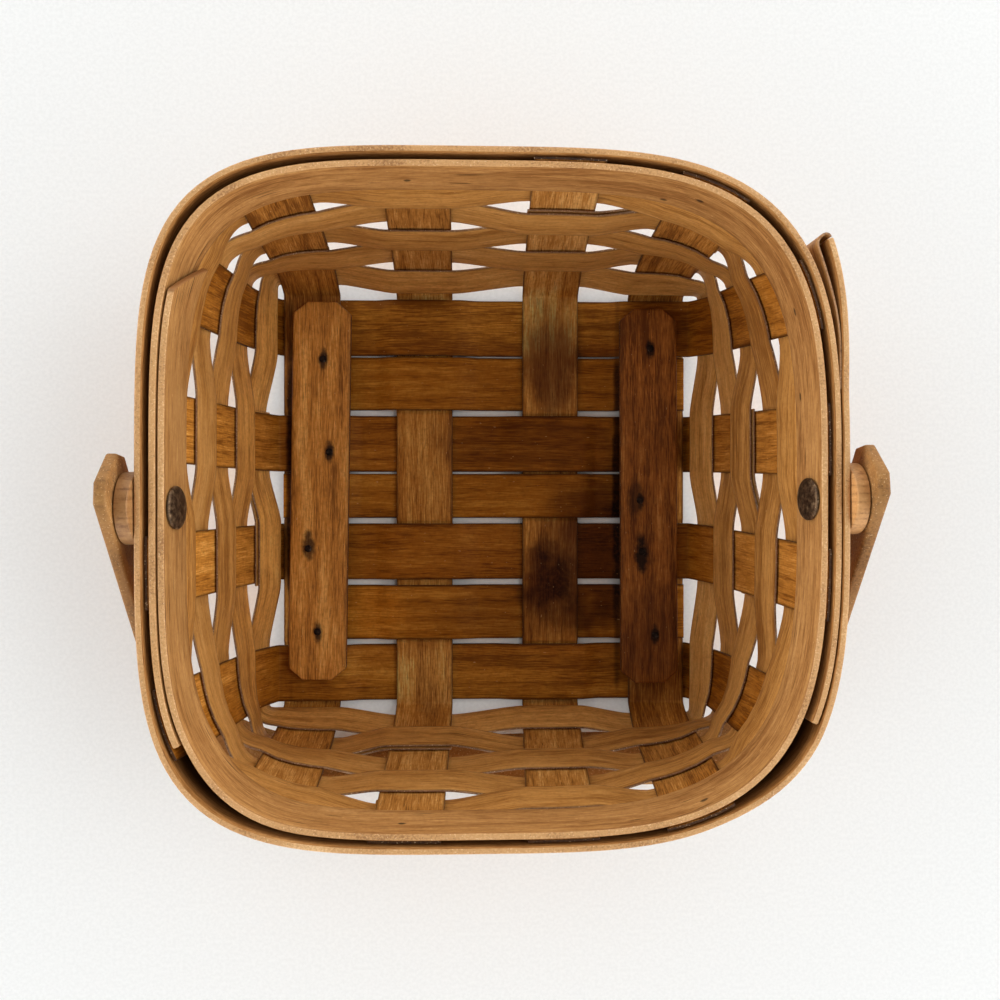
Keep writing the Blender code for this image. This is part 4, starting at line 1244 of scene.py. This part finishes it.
# Painted light on the splints' wall parts, which lifts them above the floor's deeper tones
left_row_painted_light = ((-0.088, 0, 0.038), (0.028, 0.10, 0.065), 0.85, (1.65, 2.05, 4.0))
right_row_painted_light = ((0.088, 0, 0.045), (0.025, 0.10, 0.060), 0.85, (1.4, 1.7, 3.6))
far_cross_painted_light = ((0, 0.085, 0.045), (0.10, 0.030, 0.060), 0.6, (0.95, 1.05, 1.6))
near_cross_painted_light = ((0, -0.085, 0.045), (0.10, 0.030, 0.060), 0.6, (1.0, 1.15, 1.7))
# Painted light on the lower weavers and the lower left wall, and painted shade on the left wall's fourth
# weaver
wall_painted_light_and_shade = [
    ((0, 0, 0), (0.16, 0.16, 0.034), 0.90, (1.28, 1.34, 1.36)),
    ((-0.09, 0, 0.008), (0.040, 0.14, 0.036), 0.90, (1.25, 1.25, 1.20)),
    ((-0.088, 0, 0.052), (0.012, 0.090, 0.014), 0.45, (0.65, 0.6, 0.55)),
]
knots = []
for x_spot, y_spot, z_spot in (
    (-23.5, 84.6, 77.2), (45.4, 81.2, 74.0), (54.3, 79.3, 79.1), (-24.7, -84.8, 79.6),
    (54.8, -78.8, 81.7), (79.8, 50.3, 78.5), (82.7, 28.0, 74.8),
):
    radii = (1.3, 3.0, 0.75) if abs(y_spot) > abs(x_spot) else (3.0, 1.5, 0.6)
    knots.append((Vector((x_spot, y_spot, z_spot)) * MM, Vector(radii) * MM, 0.8))
for x_spot, y_spot, z_spot in (
    (-50.8, -83.1, 83.2), (-47.2, -82.1, 72.0), (-43.1, -83.4, 76.8), (35.4, -82.5, 72.1),
    (50.6, -79.9, 78.7), (-31.1, 83.7, 71.9), (-27.0, 83.9, 71.6),
):
    knots.append((Vector((x_spot, y_spot, z_spot)) * MM, Vector((2.6, 3.0, 0.18)) * MM, 0.7))
# The floor strips' deep tones are partly their own and partly painted shade of the deep floor. The
# patches above put painted light back on their wall parts.
row_wood = wood(
    "row wood", ((104, 54, 8), (152, 90, 22), (188, 124, 44)), gain=1.12, pores=0.45, flecks=0.3,
    edge=0.75, shine=0.06, patches=floor_patches + [left_row_painted_light, right_row_painted_light],
)
filler_wood = wood(
    "filler wood", ((104, 56, 8), (156, 94, 22), (190, 128, 46)), gain=1.12, pores=0.45, flecks=0.25,
    edge=0.75, shine=0.06, patches=floor_patches,
)
cross_wood = wood(
    "cross wood", ((104, 58, 16), (162, 104, 40), (204, 150, 76)), gain=1.25, pores=0.8, flecks=0.35,
    edge=0.7, shine=0.08, patches=floor_patches + [far_cross_painted_light, near_cross_painted_light],
)
weaver_wood = wood(
    "weaver wood", ((132, 82, 32), (182, 128, 64), (206, 155, 90)), gain=1.1, contrast=0.95,
    flecks=0.5, shine=0.2, patches=wall_painted_light_and_shade,
)
# The patch on the band darkens its left inner face: painted shade against the light from the right
# falling on it
band_wood = wood(
    "band wood", ((126, 80, 38), (170, 121, 67), (200, 153, 95)), gain=1.1, contrast=0.95,
    flecks=0.9, edge=0.25, shine=0.2, stains=knots, patches=[
        ((-0.088, 0, 0.08), (0.020, 0.085, 0.030), 0.6, (0.68, 0.68, 0.66)),
    ],
)
# Wood on the sides in the rim gap, with painted shade that darkens it from its upper edge down
rim_gap_shaded_wood = wood(
    "wood in the rim gap", ((120, 76, 36), (166, 114, 62), (198, 148, 92)), pores=0.4, flecks=0.5,
    specks=0.3, edge=0.0, gap_shade=0.92, shine=0.05,
)
# The floor strips' edges are dark as painted shade
floor_edge_in_shade = edge_wood("floor strip edge in painted shade", ((40, 22, 8), (76, 46, 20), (118, 80, 42)))
strip_edge = edge_wood("strip edge", ((84, 56, 34), (134, 98, 66), (178, 140, 102)))
band_tones = ((150, 104, 60), (196, 147, 93), (226, 182, 130))
band_edge = edge_wood("band edge", band_tones, roughness=0.58)
inner_edge = edge_wood("inner band edge", band_tones, roughness=0.58, end_at=distances(inner_rows)[-1])
tongue_edge = edge_wood("tongue edge", ((120, 82, 50), (172, 126, 84), (206, 164, 120)))

slat_stains = {"left": [], "right": []}
for side, x_spot, y_spot in brad_spots:
    spot = Vector((x_spot, y_spot, 0))
    slat_stains[side].append((spot, Vector((0.0019, 0.0045, TALL)), 0.9))
left_stains, right_stains = slat_stains.values()
left_stains[2] = (left_stains[2][0] + Vector((0, 0.001, 0)), Vector((0.0026, 0.0062, TALL)), 0.85)
right_stains[2] = (right_stains[2][0] - Vector((0, 0.001, 0)), Vector((0.0030, 0.0080, TALL)), 0.95)
right_stains.append(
    (right_stains[1][0] - Vector((0.0015, -0.001, 0)), Vector((0.0035, 0.0085, TALL)), 0.6)
)
# The two slats' tones differ partly as wood and partly as painted light and shade: the right one lies in
# the right wall's shadow
left_slat_wood = wood(
    "left slat wood", ((122, 74, 26), (188, 124, 52), (226, 168, 90)), gain=1.2, contrast=1.15,
    pores=0.85, specks=0.6, edge=0.35, shine=0.15, streak_scale=260.0, stains=left_stains,
)
# On the right slat, a patch of painted shade at its front end and one of painted light at its back end
right_slat_wood = wood(
    "right slat wood", ((98, 52, 14), (160, 96, 36), (200, 138, 70)), gain=1.1, contrast=1.15,
    pores=0.85, specks=0.6, edge=0.35, shine=0.15, streak_scale=260.0, stains=right_stains, patches=[
        ((0.056, -0.048, 0), (0.016, 0.026, TALL), 0.5, DEEP_BROWN),
        ((0.054, 0.046, 0), (0.016, 0.020, TALL), 0.4, GOLDEN),
    ],
)
# The slats' cut edges are dark as painted shade, on the side away from the light
slat_edge_in_shade = edge_wood("slat edge in painted shade", ((58, 30, 10), (104, 62, 28), (150, 100, 54)))


def worn_handle_wood():
    """The handle's finish has worn off in the hand: paler, greyer and speckled."""
    sheet = new_sheet("worn handle wood")
    _, _, fibre, streak, cloud, _, pore = grain_parts(sheet, 1500.0, 260.0)
    place = sheet.place()
    speck = sheet.noise(place, scale=1300.0, detail=3.0, roughness=0.65)
    worn = sheet.noise(place, scale=60.0, detail=3.0)
    body = (streak - 0.5) * 1.0 + (cloud - 0.5) * 0.6 + (speck - 0.5) * 0.9 + 0.5
    colour = sheet.mix(body.above(0.1, 0.6), srgb(102, 66, 32), srgb(155, 109, 60))
    colour = sheet.mix(body.above(0.55, 1.0), colour, srgb(190, 144, 87))
    colour = sheet.mix(worn.above(0.45, 0.7) * 0.35, colour, srgb(134, 101, 62))
    dot = sheet.noise(place, scale=2100.0, detail=0.0).above(0.70, 0.80)
    colour = sheet.mix(dot * 0.6, colour, srgb(208, 170, 122))
    colour = sheet.mix(pore * 0.5, colour, srgb(88, 56, 32))
    normal = sheet.bump(speck * 0.6 + fibre * 0.4, 0.35, 0.0002)
    return sheet.surface(0.15, Base_Color=colour, Roughness=0.6 + (speck - 0.5) * 0.2, Normal=normal)


def turned_wood():
    """The discs are turned from pale wood, and show end grain as rings and fine pores.

    The left one is made darker than the right one.
    """
    sheet = new_sheet("turned wood")
    place = sheet.place()
    x_value, y_value, z_value = sheet.split(place)
    ring = sheet.noise((x_value * 120.0, y_value * 900.0, z_value * 60.0), detail=3.0)
    speck = sheet.noise(place, scale=1400.0, detail=2.0)
    body = (ring - 0.5) * 1.2 + (speck - 0.5) * 0.6 + 0.5
    colour = sheet.mix(body.above(0.1, 0.6), srgb(134, 88, 48), srgb(176, 128, 78))
    colour = sheet.mix(body.above(0.6, 1.0), colour, srgb(204, 160, 108))
    left_tone = sheet.times(colour, (0.80, 0.78, 0.74))
    right_tone = sheet.times(colour, (1.28, 1.28, 1.24))
    colour = sheet.mix(x_value.above(-MM, MM), left_tone, right_tone)
    normal = sheet.bump(ring, 0.3, 0.00015)
    return sheet.surface(Base_Color=colour, Roughness=0.55 + (ring - 0.5) * 0.2, Normal=normal)


def aged_metal(name, tones, roughness):
    """Aged metal: a dull skin with brighter rubbed places and fine scratches."""
    dark, middle, pale = (srgb(*tone) for tone in tones)
    sheet = new_sheet(name)
    place = sheet.place()
    blotch = sheet.noise(place, scale=700.0, detail=4.0, roughness=0.65)
    x_value, y_value, z_value = sheet.split(place)
    scratch = sheet.noise((x_value * 300.0, y_value * 300.0, z_value * 6000.0), detail=1.0)
    colour = sheet.mix(blotch.above(0.35, 0.6), dark, middle)
    colour = sheet.mix((blotch * 0.6 + scratch * 0.4).above(0.54, 0.66) * 0.7, colour, pale)
    normal = sheet.bump(blotch * 0.7 + scratch * 0.3, 0.35, 0.00012)
    uneven = roughness + (blotch - 0.5) * 0.3
    return sheet.surface(Base_Color=colour, Metallic=0.85, Roughness=uneven, Normal=normal)


handle_wood = worn_handle_wood()
disc_wood = turned_wood()
bronze = aged_metal("aged bronze", ((58, 44, 32), (104, 82, 60), (168, 142, 108)), roughness=0.45)
iron = aged_metal("rusted iron", ((26, 20, 18), (52, 40, 34), (120, 106, 94)), roughness=0.5)
print("materials", len(bpy.data.materials))

# %% [markdown]
# # Every piece on its body
# All but the handle belongs to the basket's body. Each new piece takes the place of its own node,
# except the tongue, which the CAD leaves out. The two bands run opposite ways round, so the side
# that each one's solidify modifier adds is the side in the gap between them.

# %% Finish the pieces
for item in splints:
    node = item.name.replace("cross_splint", "splint_y").replace("row_splint", "splint_x")
    face = cross_wood if item.name.startswith("cross") else row_wood
    finish_piece(item, "basket", [node], (face, floor_edge_in_shade))
for item in fillers:
    node = item.name.replace("floor_", "")
    finish_piece(item, "basket", [node], (filler_wood, floor_edge_in_shade))
for item in weavers:
    node = item.name.replace("wall_", "")
    finish_piece(item, "basket", [node], (weaver_wood, strip_edge))
for item, node, edge in ((band_inner, "rim_inner", inner_edge), (band_outer, "rim_outer", band_edge)):
    # The side in the gap takes the wood with painted shade
    item.modifiers["thickness"].material_offset = GAP_SLOT
    finish_piece(item, "basket", [node], (band_wood, edge, rim_gap_shaded_wood))
finish_piece(band_tongue, "basket", [], (band_wood, tongue_edge))
for item, face in zip(slats, (left_slat_wood, right_slat_wood)):
    finish_piece(item, "basket", [item.name.replace("wear_", "")], (face, slat_edge_in_shade))
for item, node in brads:
    finish_piece(item, "basket", [node], (iron,))
for name, disc, rivet, washer in hardware:
    finish_piece(disc, "basket", [f"spacer_{name}"], (disc_wood,))
    finish_piece(rivet, "basket", [f"rivet_{name}"], (bronze,))
    finish_piece(washer, "basket", [f"washer_{name}"], (iron,))
handle.data.materials.clear()
finish_piece(handle, "handle", ["handle"], (handle_wood, handle_wood))
print("pieces", len(finished))

# %% [markdown]
# # Floor, light and camera
# The basket stands on a plain pale sheet, seen almost straight from above, from about 35 cm up.
# A broad soft light stands up to the right and behind, so the right wall shades the right slat,
# and a pale sky fills the rest. It is brightest low down, at the sides, and dimmer overhead.

# %% Floor, light and camera
TABLE_SIZE = 6.0
CAMERA_PLACE = (-0.0091, 0.0, 0.347)
CAMERA_TILT = math.radians(-2.17)
FOCAL_SHARE = 1.015
SENSOR_WIDTH = 36.0
NEAREST_SEEN = 0.01
SKY_DIM_FROM = 0.30
SKY_DIM_TO = 0.72
SKY_BASE = 2.08
SKY_SIDES = 1.9
SKY_TOP = 0.28
SKY_LOBE = 0.45
SKY_LOBE_POWER = 8.0
SKY_LOBE_WAY = Vector((0.74, 0.10, 0.66))
SKY_COLOUR = (0.965, 0.99, 1.02, 1.0)
KEY_COLOUR = (0.98, 0.99, 1.0)
KEY_POWER = 3.6
KEY_PLACE = Vector((1.2, 0.25, 1.6))
KEY_SIZE = 0.75

table_shape = bmesh.new()
bmesh.ops.create_grid(table_shape, x_segments=1, y_segments=1, size=TABLE_SIZE / 2)
table = link_mesh("table", table_shape)
cloth = new_sheet("pale table")
weave = cloth.noise(cloth.place(), scale=900.0, detail=2.0)
table.data.materials.append(cloth.surface(
    Base_Color=cloth.mix(weave.above(0.3, 0.7), srgb(240, 239, 235), srgb(246, 245, 241)),
    Roughness=0.9,
))

world = bpy.data.worlds.new("soft sky")
bpy.context.scene.world = world
sky = Sheet(world, "Background")
direction = sky.node("ShaderNodeTexCoord")
sky_x, sky_y, sky_z = sky.split(direction)
rise = sky_z.above(SKY_DIM_FROM, SKY_DIM_TO)
facing = sky_x * SKY_LOBE_WAY.x + sky_y * SKY_LOBE_WAY.y + sky_z * SKY_LOBE_WAY.z
lobe = facing.most(0.0) ** SKY_LOBE_POWER * SKY_LOBE
strength = (SKY_BASE + SKY_SIDES * sky_x * sky_x) * (1.0 - rise) + SKY_TOP + lobe
sky.feed(sky.shader.inputs["Color"], SKY_COLOUR)
sky.feed(sky.shader.inputs["Strength"], strength)

lamp = bpy.data.lights.new("soft key", "AREA")
lamp.energy = KEY_POWER
lamp.size = KEY_SIZE
lamp.color = KEY_COLOUR
key = bpy.data.objects.new("soft key", lamp)
key.location = KEY_PLACE
key.rotation_euler = KEY_PLACE.to_track_quat("Z", "Y").to_euler()
bpy.context.scene.collection.objects.link(key)

lens = bpy.data.cameras.new("photograph view")
lens.sensor_width = SENSOR_WIDTH
lens.lens = SENSOR_WIDTH * FOCAL_SHARE
lens.clip_start = NEAREST_SEEN
camera = bpy.data.objects.new("photograph view", lens)
camera.location = CAMERA_PLACE
camera.rotation_euler = (0, CAMERA_TILT, 0)
bpy.context.scene.collection.objects.link(camera)
bpy.context.scene.camera = camera
bpy.context.scene.view_settings.view_transform = "Standard"
